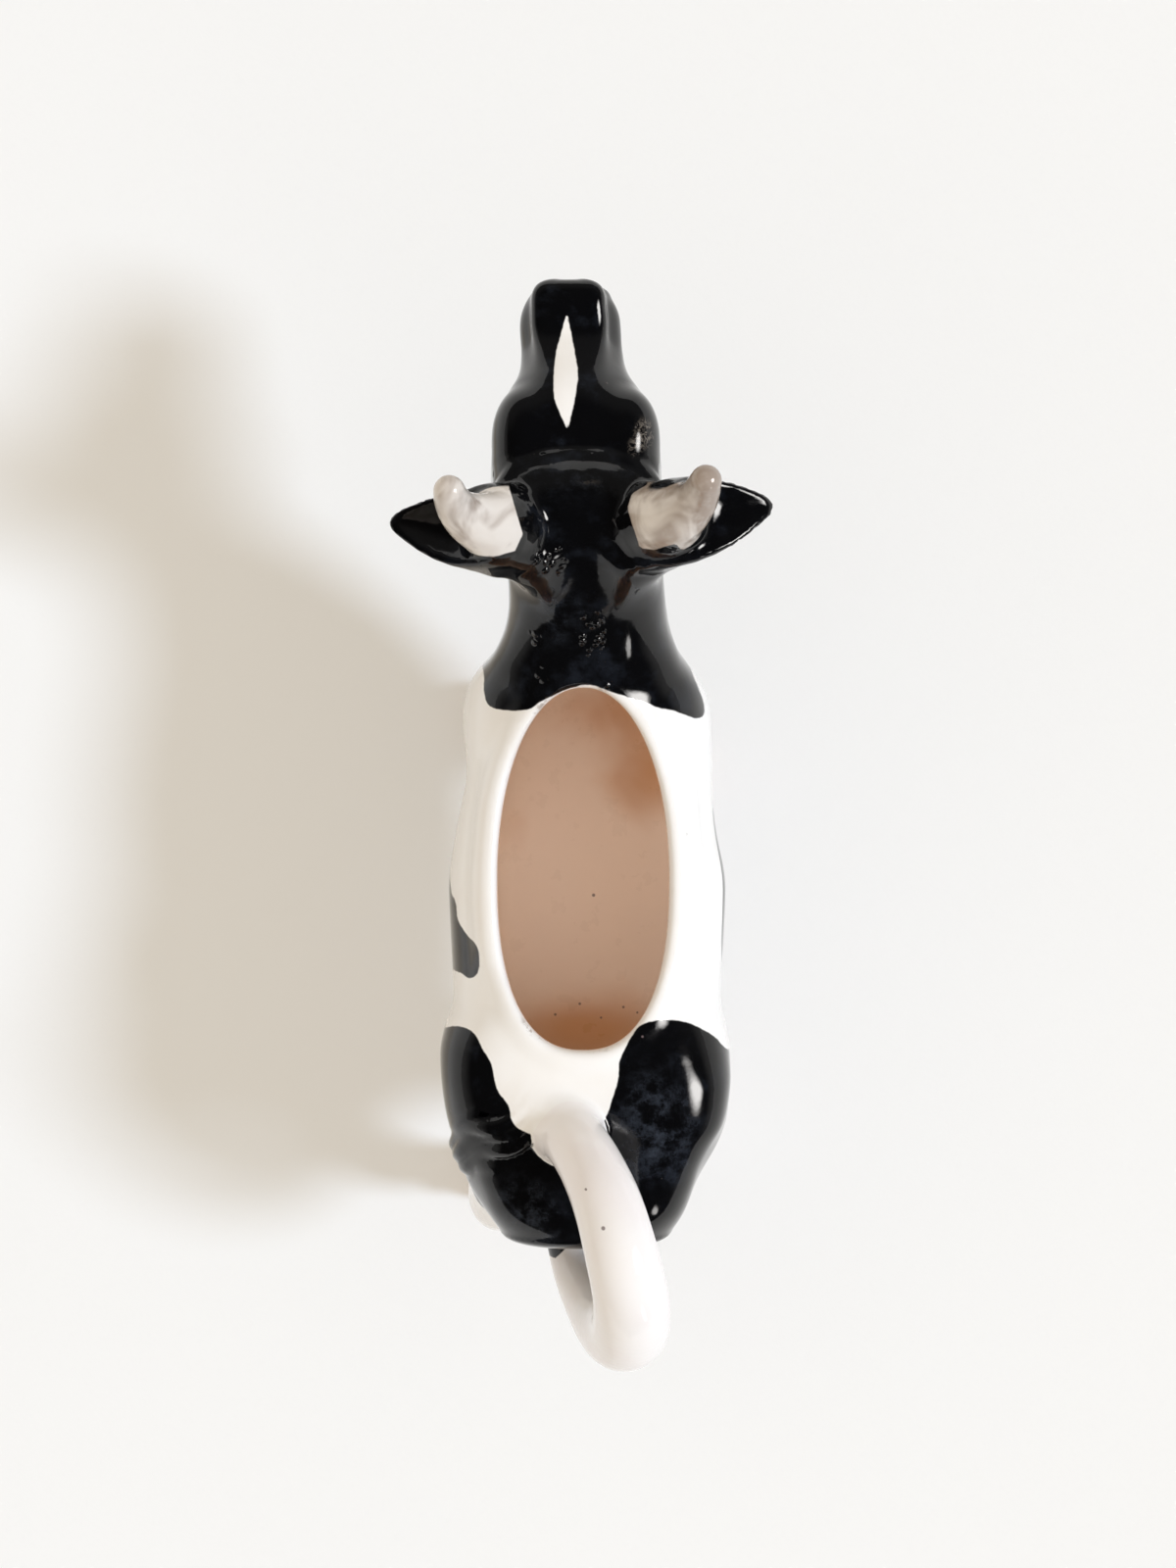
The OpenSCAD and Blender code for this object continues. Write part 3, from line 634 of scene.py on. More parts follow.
# ------------------------------------------------------------------ meshing
def grid_field():
    lo = np.array([-34.5, -96.0, -2.5])
    hi = np.array([34.5, 97.5, 123.0])
    n = np.ceil((hi - lo) / H / 4).astype(int) * 4
    nb = n // 4
    ax = [lo[i] + H * np.arange(n[i]) for i in range(3)]
    bc = [lo[i] + H * (4 * np.arange(nb[i]) + 1.5) for i in range(3)]
    C = np.stack(np.meshgrid(*bc, indexing="ij"), -1).reshape(-1, 3)
    fc = field(C)
    near = np.abs(fc) < 4 * H * 0.87 * 1.55 + 0.9
    S = np.repeat(np.repeat(np.repeat(fc.reshape(nb), 4, 0), 4, 1), 4, 2)
    b = np.argwhere(near.reshape(nb))
    off = np.stack(np.meshgrid(*[np.arange(4)] * 3, indexing="ij"), -1).reshape(-1, 3)
    idx = (b[:, None, :] * 4 + off[None]).reshape(-1, 3)
    P = np.stack([ax[i][idx[:, i]] for i in range(3)], 1)
    S[idx[:, 0], idx[:, 1], idx[:, 2]] = field(P)
    return S, lo


def surface_nets(S, lo):
    ins = S < 0
    n = np.array(S.shape)
    cnt = sum(ins[a:n[0] - 1 + a, b:n[1] - 1 + b, c:n[2] - 1 + c].astype(np.int8)
              for a in (0, 1) for b in (0, 1) for c in (0, 1))
    act = (cnt > 0) & (cnt < 8)
    cell = np.argwhere(act)
    index = -np.ones(n - 1, np.int64)
    index[act] = np.arange(len(cell))
    corner = np.array([(a, b, c) for a in (0, 1) for b in (0, 1) for c in (0, 1)])
    v = np.stack([S[cell[:, 0] + c[0], cell[:, 1] + c[1], cell[:, 2] + c[2]] for c in corner], 1)
    acc = np.zeros((len(cell), 3))
    num = np.zeros(len(cell))
    for i in range(8):
        for j in range(i + 1, 8):
            if np.abs(corner[i] - corner[j]).sum() != 1:
                continue
            x = (v[:, i] < 0) != (v[:, j] < 0)
            t = v[x, i] / (v[x, i] - v[x, j])
            acc[x] += corner[i] + t[:, None] * (corner[j] - corner[i])
            num[x] += 1
    V = lo + H * (cell + acc / num[:, None])
    quads = []
    for axis in range(3):
        u, w = (axis + 1) % 3, (axis + 2) % 3
        sl0 = [slice(None)] * 3
        sl1 = [slice(None)] * 3
        sl0[axis], sl1[axis] = slice(0, -1), slice(1, None)
        a, b = ins[tuple(sl0)], ins[tuple(sl1)]
        e = np.argwhere(a != b)
        e = e[(e[:, u] > 0) & (e[:, w] > 0) & (e[:, u] < n[u] - 1) & (e[:, w] < n[w] - 1)]
        flip = ~a[e[:, 0], e[:, 1], e[:, 2]]
        q = []
        for du, dw in ((1, 1), (0, 1), (0, 0), (1, 0)):
            c = e.copy()
            c[:, u] -= du
            c[:, w] -= dw
            q.append(index[c[:, 0], c[:, 1], c[:, 2]])
        q = np.stack(q, 1)
        q[flip] = q[flip][:, ::-1]
        quads.append(q)
    Q = np.vstack(quads)
    Q = Q[(Q >= 0).all(1)]
    d1 = np.linalg.norm(V[Q[:, 0]] - V[Q[:, 2]], axis=1)
    d2 = np.linalg.norm(V[Q[:, 1]] - V[Q[:, 3]], axis=1)
    s = d1 <= d2
    T = np.vstack([Q[s][:, [0, 1, 2]], Q[s][:, [0, 2, 3]], Q[~s][:, [0, 1, 3]], Q[~s][:, [1, 2, 3]]])
    return V, T


def edges_of(T):
    e = np.vstack([T[:, [0, 1]], T[:, [1, 2]], T[:, [2, 0]]])
    e.sort(axis=1)
    key = e[:, 0] * (T.max() + 1) + e[:, 1]
    uk, first, inv = np.unique(key, return_index=True, return_inverse=True)
    return e[first], inv.reshape(3, -1).T


def split(V, T, E, TE, mark, pos, extra=None):
    """Splits the marked edges at pos. Returns V, T and for each triangle its parent."""
    new = -np.ones(len(E), np.int64)
    new[mark] = len(V) + np.arange(mark.sum())
    V = np.vstack([V, pos])
    m = mark[TE]
    k = m.sum(1)
    outT, par = [T[k == 0]], [np.flatnonzero(k == 0)]
    for cnt in (1, 2):
        for r in range(3):
            if cnt == 1:
                sel = np.flatnonzero((k == 1) & m[:, r])
            else:
                sel = np.flatnonzero((k == 2) & ~m[:, (r + 2) % 3])
            if len(sel) == 0:
                continue
            a, b, c = T[sel, r], T[sel, (r + 1) % 3], T[sel, (r + 2) % 3]
            p = new[TE[sel, r]]
            if cnt == 1:
                outT += [np.stack([a, p, c], 1), np.stack([p, b, c], 1)]
                par += [sel, sel]
            else:
                q = new[TE[sel, (r + 1) % 3]]
                s = np.linalg.norm(V[a] - V[q], axis=1) < np.linalg.norm(V[p] - V[c], axis=1)
                outT.append(np.stack([p, b, q], 1))
                par.append(sel)
                outT += [np.stack([a, p, q], 1)[s], np.stack([a, q, c], 1)[s], np.stack([a, p, c], 1)[~s], np.stack([p, q, c], 1)[~s]]
                par += [sel[s], sel[s], sel[~s], sel[~s]]
    sel = np.flatnonzero(k == 3)
    if len(sel):
        a, b, c = T[sel].T
        p, q, s = new[TE[sel, 0]], new[TE[sel, 1]], new[TE[sel, 2]]
        outT += [np.stack([a, p, s], 1), np.stack([p, b, q], 1), np.stack([s, q, c], 1), np.stack([p, q, s], 1)]
        par += [sel] * 4
    return V, np.vstack(outT), np.concatenate(par)


def relax(V, T, rounds=2, amount=0.45):
    for _ in range(rounds):
        e = np.vstack([T[:, [0, 1]], T[:, [1, 2]], T[:, [2, 0]]])
        acc = np.stack([np.bincount(e[:, 0], V[e[:, 1], i], len(V)) + np.bincount(e[:, 1], V[e[:, 0], i], len(V)) for i in range(3)], 1)
        num = np.bincount(e.ravel(), minlength=len(V))
        move = acc / np.maximum(num, 1)[:, None] - V
        fn = np.cross(V[T[:, 1]] - V[T[:, 0]], V[T[:, 2]] - V[T[:, 0]])
        vn = np.stack([sum(np.bincount(T[:, j], fn[:, i], len(V)) for j in range(3)) for i in range(3)], 1)
        vn /= np.maximum(np.linalg.norm(vn, axis=1), 1e-9)[:, None]
        move -= vn * (move * vn).sum(1)[:, None]
        V = V + amount * move
    return V


def target(P, D):
    """Wanted edge length, mm."""
    x, y, z = P.T
    t = np.full(len(P), 1.35)
    t = np.where(y > 40, 1.0, t)
    t = np.where((y > 54) & (z > 93), 0.62, t)                     # fringe and forehead
    t = np.where((y > 62) & (z > 83) & (z < 94), 0.72, t)            # eyes
    t = np.where(y > 82, 0.62, t)                                  # muzzle
    for i, s in ((1, .75), (2, .75), (3, .72), (4, .72), (11, .62), (9, 1.0), (10, 1.15)):
        t = np.where(D[:, i] < 0.6, np.minimum(t, s), t)
    t = np.where(z < 13, 0.8, t)
    return t


def refine(V, T, rounds):
    for _ in range(rounds):
        E, TE = edges_of(T)
        mid = (V[E[:, 0]] + V[E[:, 1]]) / 2
        ln = np.linalg.norm(V[E[:, 0]] - V[E[:, 1]], axis=1)
        D = run(distances, mid)
        tg = target(mid, D)
        inner = outer_from(D) < -2.0
        tg = np.where(inner, 1.7, tg)
        paint = np.abs(black_distance(mid)) < 1.1
        tg = np.where(paint & ~inner, np.minimum(tg, 0.7), tg)
        mark = ln > 1.38 * tg
        for _ in range(3):
            any_m = mark[TE].any(1)
            longest = TE[np.arange(len(TE)), ln[TE].argmax(1)]
            mark[longest[any_m]] = True
        if mark.sum() == 0:
            break
        pos = project(mid[mark], 1, 0.3)
        V, T, _ = split(V, T, E, TE, mark, pos)
    return V, T


# ------------------------------------------------------------------ paint edges
def poly_distance(px, py, poly):
    """Signed distance to a closed polygon, negative inside."""
    poly = np.asarray(poly, float)
    best = np.full(len(px), 1e9)
    inside = np.zeros(len(px), bool)
    for a, b in zip(poly, np.roll(poly, -1, 0)):
        dx, dy = b - a
        ex, ey = px - a[0], py - a[1]
        t = np.clip((ex * dx + ey * dy) / max(dx * dx + dy * dy, 1e-9), 0, 1)
        best = np.minimum(best, (ex - t * dx) ** 2 + (ey - t * dy) ** 2)
        if a[1] != b[1]:
            cross = ((a[1] <= py) & (py < b[1])) | ((b[1] <= py) & (py < a[1]))
            inside ^= cross & (px < a[0] + (py - a[1]) / (b[1] - a[1]) * dx)
    d = np.sqrt(best)
    return np.where(inside, -d, d)


def closed_spline(points, sub=4):
    p = np.asarray(points, float)
    n = len(p)
    out = []
    for i in range(n):
        a, b, c, d = p[i - 1], p[i], p[(i + 1) % n], p[(i + 2) % n]
        for s in range(sub):
            t = s / sub
            out.append(0.5 * (2 * b + (c - a) * t + (2 * a - 5 * b + 4 * c - d) * t * t + (3 * b - a - 3 * c + d) * t**3))
    return np.array(out)


def unrolled(P):
    """Where a point lies on the painted skin: y and a distance across, as seen from above on
    the upper half and carried on round the barrel below it, mm."""
    k = 392.0 / (470.0 - P[:, 2])
    x = .95 + (P[:, 0] - .95) * k
    y = 8.3 + (P[:, 1] - 8.3) * k
    turn = np.arctan2(P[:, 0] - 0.6, P[:, 2] - 57.0)
    return y, x + np.sign(turn) * 40.0 * np.maximum(np.abs(turn) - math.radians(75), 0)


PATCHES = [
    # neck and head
    [(31.8, -18.8), (29.1, -17.5), (26.7, -17.0), (23.9, -17.0), (21.5, -16.0), (20.7, -13.0), (20.9, -9.1), (22.2, -7.1), (24.0, -3.2),
     (25.1, 0.8), (23.9, 4.8), (23.2, 7.1), (22.0, 11.0), (21.2, 12.8), (20.7, 15.5), (19.7, 18.2), (19.4, 19.5), (20.0, 20.8), (22.0, 20.9),
     (24.7, 20.0), (27.4, 18.9), (30.0, 18.2), (33.0, 19.0), (36.5, 24.0), (39.0, 34.0), (41.0, 50.0), (42.0, 80.0), (150.0, 80.0), (150.0, -80.0),
     (42.0, -80.0), (41.0, -50.0), (39.0, -34.0), (36.0, -24.0)],
    # left hip, round the rump under the tail, down the thigh
    [(-33.3, -24.2), (-33.0, -20.8), (-34.4, -18.3), (-36.9, -17.0), (-39.4, -15.5), (-43.3, -14.6), (-44.6, -14.0), (-46.6, -12.5), (-49.2, -11.9),
     (-50.8, -10.3), (-52.0, -6.8), (-53.8, -3.0), (-57.0, 1.0), (-66, 1.0), (-86, 1.0), (-86, -40), (-80, -56), (-70, -62), (-58, -64), (-48, -60),
     (-40, -52), (-38.4, -42), (-37.4, -34), (-35.0, -28.6)],
    # right hip
    [(-31.9, 13.5), (-32.7, 10.0), (-34.9, 8.2), (-37.6, 6.8), (-39.6, 6.1), (-42.0, 6.0), (-45.3, 5.0), (-48.2, 4.0), (-52.0, 2.0), (-57.0, 0.0),
     (-66, -1.0), (-86, -1.0), (-86, 38), (-79, 52), (-70, 58), (-60, 60), (-50, 57), (-43, 49), (-40, 40), (-38.6, 31), (-37.0, 25.0), (-35.0, 23.0), (-33.4, 20.4), (-32.2, 17.4)],
    # left flank
    [(-7.0, -27.5), (-9.6, -23.0), (-12.0, -21.5), (-14.7, -21.2), (-17.3, -19.7), (-19.2, -18.0), (-21.4, -17.5), (-24.0, -17.8), (-25.0, -19.3),
     (-23.9, -21.4), (-23.4, -25), (-25.2, -32), (-23, -43), (-15, -50), (-7, -48), (-3.6, -39), (-5.0, -32)],
    # right flank
    [(4.4, 27.0), (3.4, 24.6), (-1.8, 24.0), (-7.0, 24.2), (-13.0, 24.3), (-19.0, 24.9), (-22.6, 28.6), (-24.6, 38), (-20, 50), (-10, 56), (1, 52), (7.0, 42), (7.4, 33)],
]
PATCH_LINES = [closed_spline(p, 4) for p in PATCHES]
BLAZE = [(-2.6, 86.0), (-1.9, 82.6), (-1.4, 79.6), (-0.95, 76.8), (-0.85, 74.6), (-1.2, 71.8), (-1.8, 68.9), (-2.4, 66.4),
         (-3.4, 68.6), (-4.35, 71.0), (-4.55, 73.6), (-4.5, 76.2), (-4.1, 80.2), (-3.3, 83.4)]


def patch_distance(P):
    y, a = unrolled(P)
    d = np.full(len(P), 1e9)
    for line in PATCH_LINES:
        m = (y > line[:, 0].min() - 6) & (y < line[:, 0].max() + 6)
        v = np.full(len(P), 6.0)
        v[m] = poly_distance(y[m], a[m], line)
        d = np.minimum(d, v)
    return d


def black_distance(P):
    """Negative where the glaze is black, whatever the piece."""
    return run(patch_distance, P, 60000)


def horn_paint(P, D):
    """Negative on the horns and the little area round their roots that is painted with them."""
    x, y = P[:, 0], P[:, 1]
    left = poly_distance(x, y, [(-11.9, 60), (-11.6, 55.8), (-10.6, 52.4), (-9.8, 49.6), (-9.3, 48.0), (-10.6, 45.4), (-13.6, 44.4), (-18, 43), (-40, 43), (-40, 60)])
    right = poly_distance(x, y, [(10.4, 60), (10.3, 56.2), (7.9, 54.8), (7.2, 52.2), (7.9, 49.6), (9.2, 46.0), (11.6, 45.6), (14.8, 46.2), (18, 44), (40, 44), (40, 60)])
    near_l = np.maximum(D[:, 1] - 0.55, 98.6 - P[:, 2])
    near_r = np.maximum(D[:, 2] - 0.55, 98.6 - P[:, 2])
    return np.minimum(np.maximum(left, near_l), np.maximum(right, near_r))


# ------------------------------------------------------------------ build the skin
S, LO = grid_field()
V, T = surface_nets(S, LO)
del S
used = np.unique(T)
remap = -np.ones(len(V), np.int64)
remap[used] = np.arange(len(used))
V, T = V[used], remap[T]
V = project(V, 2, 0.7)
V = project(relax(V, T, 2), 1, 0.5)
V, T = refine(V, T, 2)
V = project(relax(V, T, 1, 0.35), 2, 0.4)
print("skin", len(V), "vertices", len(T), "triangles")


def cut(V, T, lab, D, g, only, new_label):
    """Cuts the triangles of label only along g = 0 and gives the negative side new_label."""
    part = lab == only
    E, TE = edges_of(T)
    used_e = np.zeros(len(E), bool)
    used_e[TE[part].ravel()] = True
    moved = np.zeros(len(V), bool)
    a, b = E.T
    ga, gb = g[a], g[b]
    cross = used_e & (ga * gb < 0)
    t = np.where(cross, ga / np.where(cross, ga - gb, 1), 0.5)
    V = V.copy()
    g = g.copy()
    for near, vid, tt in ((t < 0.25, a, t), (t > 0.75, b, t)):
        sel = np.flatnonzero(cross & near)
        sel = sel[~moved[vid[sel]]]
        _, first = np.unique(vid[sel], return_index=True)
        sel = sel[first]
        pos = V[a[sel]] * (1 - tt[sel])[:, None] + V[b[sel]] * tt[sel][:, None]
        V[vid[sel]] = pos
        g[vid[sel]] = 0.0
        moved[vid[sel]] = True
    ga, gb = g[a], g[b]
    cross = used_e & (ga * gb < 0)
    t = (ga / np.where(cross, ga - gb, 1))[cross]
    pos = V[a[cross]] * (1 - t)[:, None] + V[b[cross]] * t[:, None]
    V, T, par = split(V, T, E, TE, cross, pos)
    lab = lab[par]
    g = np.concatenate([g, np.zeros(cross.sum())])
    gt = g[T]
    side = np.take_along_axis(gt, np.abs(gt).argmax(1)[:, None], 1)[:, 0]
    lab = np.where((lab == only) & (side < 0), new_label, lab)
    return V, T, lab


lab = np.zeros(len(T), np.int64)
for i in range(1, 12):
    D = run(distances, V)
    others = np.delete(D, i, axis=1).min(1)
    # the wall of the hollow always belongs to the shells
    V, T, lab = cut(V, T, lab, D, np.maximum(D[:, i] - others, -1.3 - outer_from(D)), 0, i)
V, T, lab = cut(V, T, lab, None, -neck_plane(V), 0, 12)

V = project(V, 1, 0.15)
G = gradient(V)
N = G / np.maximum(np.linalg.norm(G, axis=1), 1e-9)[:, None]
D = run(distances, V)
OUT = outer_from(D)

# paint distances at the vertices, mm
black = black_distance(V)
blaze = poly_distance(V[:, 0], V[:, 1], BLAZE)
blaze = np.where(V[:, 2] > 84, blaze, 9.0)
head_black = np.maximum(black, -blaze)
ear_d = np.minimum(D[:, 3], D[:, 4])
horn = horn_paint(V, D)
tail_front = D[:, 10] - np.minimum(D[:, 0], D[:, 11]) - 0.3       # tail against the rump
black = head_black
on_tail = np.where((V[:, 1] < -40), tail_front, 9.0)
root_edge = -74.9 - 2.5 * np.clip((-V[:, 0] - 2.6) / 2.4, 0, 1)
on_tail = np.where(V[:, 2] < 66, np.maximum(on_tail, V[:, 1] - root_edge), on_tail)
black = np.maximum(black, -on_tail)
black = np.maximum(black, -1.0 - OUT)
inner = OUT + 1.35
# where the patches end on the chest, the belly and the thighs
wavy = 1.5 * np.sin(V[:, 0] * .21 + 1.0) + 1.2 * np.sin(V[:, 1] * .17 + .4) + 0.6 * np.sin(V[:, 0] * .47 - V[:, 1] * .38)
low = 27.0 + 15.0 * np.clip((-33 - V[:, 1]) / 11, 0, 1) + 31.0 * np.clip((V[:, 1] - 12) / 9, 0, 1) * np.clip((46 - V[:, 1]) / 10, 0, 1)
black = np.maximum(black, (low + wavy - V[:, 2]) * 0.8)
hoof = V[:, 2] - 8.1

print("cut", len(V), "vertices", len(T), "triangles")

# ------------------------------------------------------------------ materials
def node(nt, kind, **sets):
    n = nt.nodes.new(kind)
    for k, v in sets.items():
        setattr(n, k, v)
    return n


class Shade:
    """Short names for the nodes used again and again."""

    def __init__(self, name):
        self.mat = bpy.data.materials.new(name)
        self.mat.use_nodes = True
        self.nt = self.mat.node_tree
        self.bsdf = self.nt.nodes["Principled BSDF"]
        self.coord = node(self.nt, "ShaderNodeTexCoord").outputs["Object"]

    def link(self, a, b):
        self.nt.links.new(a, b)

    def put(self, socket, value):
        if isinstance(value, bpy.types.NodeSocket):
            self.link(value, socket)
        else:
            socket.default_value = value

    def attr(self, name):
        n = node(self.nt, "ShaderNodeAttribute", attribute_name=name)
        return n.outputs["Fac"]

    def noise(self, scale, detail=4.0, rough=0.55, distortion=0.0):
        n = node(self.nt, "ShaderNodeTexNoise")
        self.link(self.coord, n.inputs["Vector"])
        n.inputs["Scale"].default_value = scale
        n.inputs["Detail"].default_value = detail
        n.inputs["Roughness"].default_value = rough
        n.inputs["Distortion"].default_value = distortion
        return n.outputs["Fac"]

    def voronoi(self, scale, feature="F1"):
        n = node(self.nt, "ShaderNodeTexVoronoi", feature=feature)
        self.link(self.coord, n.inputs["Vector"])
        n.inputs["Scale"].default_value = scale
        return n.outputs["Distance"], n.outputs.get("Color")

    def math(self, op, a, b=None, c=None, clamp=False):
        n = node(self.nt, "ShaderNodeMath", operation=op, use_clamp=clamp)
        for s, v in zip(n.inputs, (a, b, c)):
            if v is not None:
                self.put(s, v)
        return n.outputs[0]

    def ramp(self, x, lo, hi, a=0.0, b=1.0, smooth=True):
        n = node(self.nt, "ShaderNodeMapRange", interpolation_type="SMOOTHSTEP" if smooth else "LINEAR")
        self.put(n.inputs["Value"], x)
        for k, v in (("From Min", lo), ("From Max", hi), ("To Min", a), ("To Max", b)):
            n.inputs[k].default_value = v
        return n.outputs[0]

    def mix(self, fac, a, b, blend="MIX"):
        n = node(self.nt, "ShaderNodeMix", data_type="RGBA", blend_type=blend)
        self.put(n.inputs[0], fac)
        for s, v in ((n.inputs[6], a), (n.inputs[7], b)):
            self.put(s, v if isinstance(v, bpy.types.NodeSocket) else (*v, 1.0))
        return n.outputs[2]

    def across(self):
        n = node(self.nt, "ShaderNodeSeparateXYZ")
        self.link(self.coord, n.inputs[0])
        return n.outputs[0]

    def spot(self, x, y, r):
        """1 within r of (x, y), in mm."""
        n = node(self.nt, "ShaderNodeVectorMath", operation="MULTIPLY")
        self.link(self.coord, n.inputs[0])
        n.inputs[1].default_value = (1.0, 1.0, 0.0)
        m = node(self.nt, "ShaderNodeVectorMath", operation="DISTANCE")
        self.link(n.outputs[0], m.inputs[0])
        m.inputs[1].default_value = (x / 1000, y / 1000, 0.0)
        return self.ramp(m.outputs["Value"], r * 0.0007, r * 0.0013, 1.0, 0.0)

    def bump(self, height, strength, distance, normal=None):
        n = node(self.nt, "ShaderNodeBump")
        n.inputs["Strength"].default_value = strength
        n.inputs["Distance"].default_value = distance
        self.link(height, n.inputs["Height"])
        if normal is not None:
            self.link(normal, n.inputs["Normal"])
        return n.outputs[0]


def glaze(name, light=(0.945, 0.922, 0.895), warm=(0.90, 0.855, 0.80), pink=None, dots_at=()):
    """Clear glaze over painted earthenware. Every colour area comes from the mesh's paint distances."""
    s = Shade(name)
    broad = s.noise(55.0, 3.0, 0.5)
    fine = s.noise(900.0, 3.0, 0.6)
    # ground: off-white with faint warm clouds and iron specks
    ground = s.mix(s.ramp(broad, 0.42, 0.72, 0.0, 0.55), light, warm)
    if pink:
        ground = s.mix(s.ramp(s.noise(90.0, 2.0), 0.35, 0.65, 0.25, 0.9), ground, pink)
    dots, _ = s.voronoi(210.0)
    some = s.noise(75.0, 1.0)
    speck = s.math("MULTIPLY", s.ramp(dots, 0.045, 0.085, 1.0, 0.0), s.ramp(some, 0.66, 0.70))
    ground = s.mix(s.math("MULTIPLY", speck, 0.65), ground, (0.16, 0.11, 0.08))
    # inside: pinkish brown glaze with random mottling, painted darker (painted shade) towards the right wall, a strip
    # of the left wall and both ends of the hollow, and painted lighter (painted light) in the middle
    inside_tone = s.noise(38.0, 3.0, 0.5, 0.6)
    inside_shade_and_mottle = s.math("ADD", s.attr("paint_inside_shade"), s.ramp(inside_tone, 0.3, 0.7, -0.12, 0.22))
    inside = s.mix(s.ramp(inside_shade_and_mottle, 0.15, 1.1), (0.985, 0.815, 0.69), (0.72, 0.41, 0.22))
    dots2, _ = s.voronoi(150.0)
    speck2 = s.math("MULTIPLY", s.ramp(dots2, 0.035, 0.07, 1.0, 0.0), s.ramp(s.noise(60.0, 1.0), 0.60, 0.64))
    inside = s.mix(s.math("MULTIPLY", speck2, 0.4), inside, (0.32, 0.17, 0.11))
    wobble = s.math("MULTIPLY_ADD", fine, 0.5, -0.25)
    wobble = s.math("MULTIPLY_ADD", broad, 0.5, wobble)
    d_in = s.math("ADD", s.attr("paint_inner"), s.math("SUBTRACT", wobble, 0.25))
    col = s.mix(s.ramp(d_in, -0.28, 0.28, 1.0, 0.0), ground, inside)
    # hooves
    d_hoof = s.math("ADD", s.attr("paint_hoof"), s.math("MULTIPLY", wobble, 0.8))
    hoof_c = s.mix(s.noise(160.0, 3.0), (0.80, 0.60, 0.52), (0.86, 0.70, 0.62))
    col = s.mix(s.ramp(d_hoof, -0.35, 0.35, 0.85, 0.0), col, hoof_c)
    # black, a little blue in places, with dust and a painted bluish sheen
    cloud = s.noise(130.0, 5.0, 0.65)
    black_c = s.mix(s.ramp(cloud, 0.50, 0.74), (0.0028, 0.0028, 0.0033), (0.012, 0.014, 0.019))
    scratch = s.math("MULTIPLY", s.ramp(dots, 0.03, 0.06, 1.0, 0.0), s.ramp(some, 0.52, 0.60))
    black_c = s.mix(s.math("MULTIPLY", scratch, 0.5), black_c, (0.20, 0.18, 0.16))
    # dust and a painted bluish sheen on the right hip, the rear of the left hip, the poll and the nape
    dust_and_sheen = s.math("MULTIPLY", s.attr("paint_dust_and_sheen"), s.ramp(s.noise(260.0, 6.0, 0.75), 0.42, 0.72))
    black_c = s.mix(s.math("MULTIPLY", dust_and_sheen, 0.62, clamp=True), black_c, (0.075, 0.088, 0.115))
    # rubbed glaze with a painted sheen on the right brow and across the poll
    scuff_and_sheen = s.math("MULTIPLY", s.ramp(s.attr("paint_scuff_and_sheen"), 0.12, 0.7), s.ramp(s.noise(1100.0, 3.0, 0.7, 1.2), 0.46, 0.60))
    black_c = s.mix(s.math("MULTIPLY", scuff_and_sheen, 0.75), black_c, (0.17, 0.145, 0.12))
    d_black = s.math("ADD", s.attr("paint_black"), s.math("MULTIPLY", wobble, 0.55))
    black_f = s.ramp(d_black, -0.13, 0.13, 1.0, 0.0)
    col = s.mix(black_f, col, black_c)
    # mottled horns
    hm = s.math("ADD", s.noise(105.0, 3.0, 0.55, 0.8), s.ramp(s.across(), -0.014, 0.014, 0.11, -0.09))
    horn_c = s.mix(s.ramp(hm, 0.38, 0.62), (0.36, 0.29, 0.24), (0.76, 0.70, 0.64))
    streak = s.noise(420.0, 2.0, 0.6)
    horn_c = s.mix(s.ramp(streak, 0.45, 0.8, 0.0, 0.22), horn_c, (0.78, 0.73, 0.68))
    d_horn = s.math("ADD", s.attr("paint_horn"), s.math("MULTIPLY", wobble, 0.3))
    horn_f = s.ramp(d_horn, -0.10, 0.10, 1.0, 0.0)
    col = s.mix(horn_f, col, horn_c)
    # eyes
    white_f = s.ramp(s.attr("paint_eye"), -0.1, 0.1, 1.0, 0.0)
    eye_c = s.mix(s.noise(300.0), (0.74, 0.71, 0.66), (0.82, 0.79, 0.74))
    col = s.mix(white_f, col, eye_c)
    pupil_f = s.ramp(s.attr("paint_pupil"), -0.1, 0.1, 1.0, 0.0)
    col = s.mix(pupil_f, col, (0.004, 0.004, 0.004))
    # worn clay on the rim
    wear = s.math("MULTIPLY", s.ramp(s.attr("paint_rim"), -0.55, 0.25, 1.0, 0.0), s.ramp(s.noise(620.0, 4.0, 0.7), 0.47, 0.60))
    col = s.mix(s.math("MULTIPLY", wear, 0.7), col, (0.25, 0.175, 0.125))
    # single specks fired into the glaze
    for x, y, r in dots_at:
        col = s.mix(s.math("MULTIPLY", s.spot(x, y, r), 0.8), col, (0.16, 0.12, 0.12))
    s.link(col, s.bsdf.inputs["Base Color"])
    rough = s.ramp(s.noise(240.0, 4.0, 0.6), 0.3, 0.75, 0.045, 0.13)
    rough = s.math("MAXIMUM", rough, s.math("MULTIPLY", wear, 0.5))
    rough = s.math("ADD", rough, s.ramp(d_in, -0.28, 0.28, 0.22, 0.0))
    s.link(rough, s.bsdf.inputs["Roughness"])
    s.bsdf.inputs["IOR"].default_value = 1.42
    s.bsdf.inputs["Coat Weight"].default_value = 0.0
    # the glaze lies in soft waves, with pinholes and a slight edge where the black lies on the white
    b = s.bump(s.noise(110.0, 1.0, 0.4), 0.24, 0.0006)
    b = s.bump(s.noise(520.0, 2.0, 0.5), 0.10, 0.00016, b)
    cells, _ = s.voronoi(700.0)
    domes = s.math("MULTIPLY", s.ramp(cells, 0.05, 0.55, 1.0, 0.0), s.ramp(s.attr("paint_blister"), 0.25, 0.6))
    b = s.bump(domes, 0.75, 0.0006, b)
    b = s.bump(speck, 0.25, -0.0003, b)
    b = s.bump(black_f, 0.12, 0.00005, b)
    s.link(b, s.bsdf.inputs["Normal"])
    return s.mat


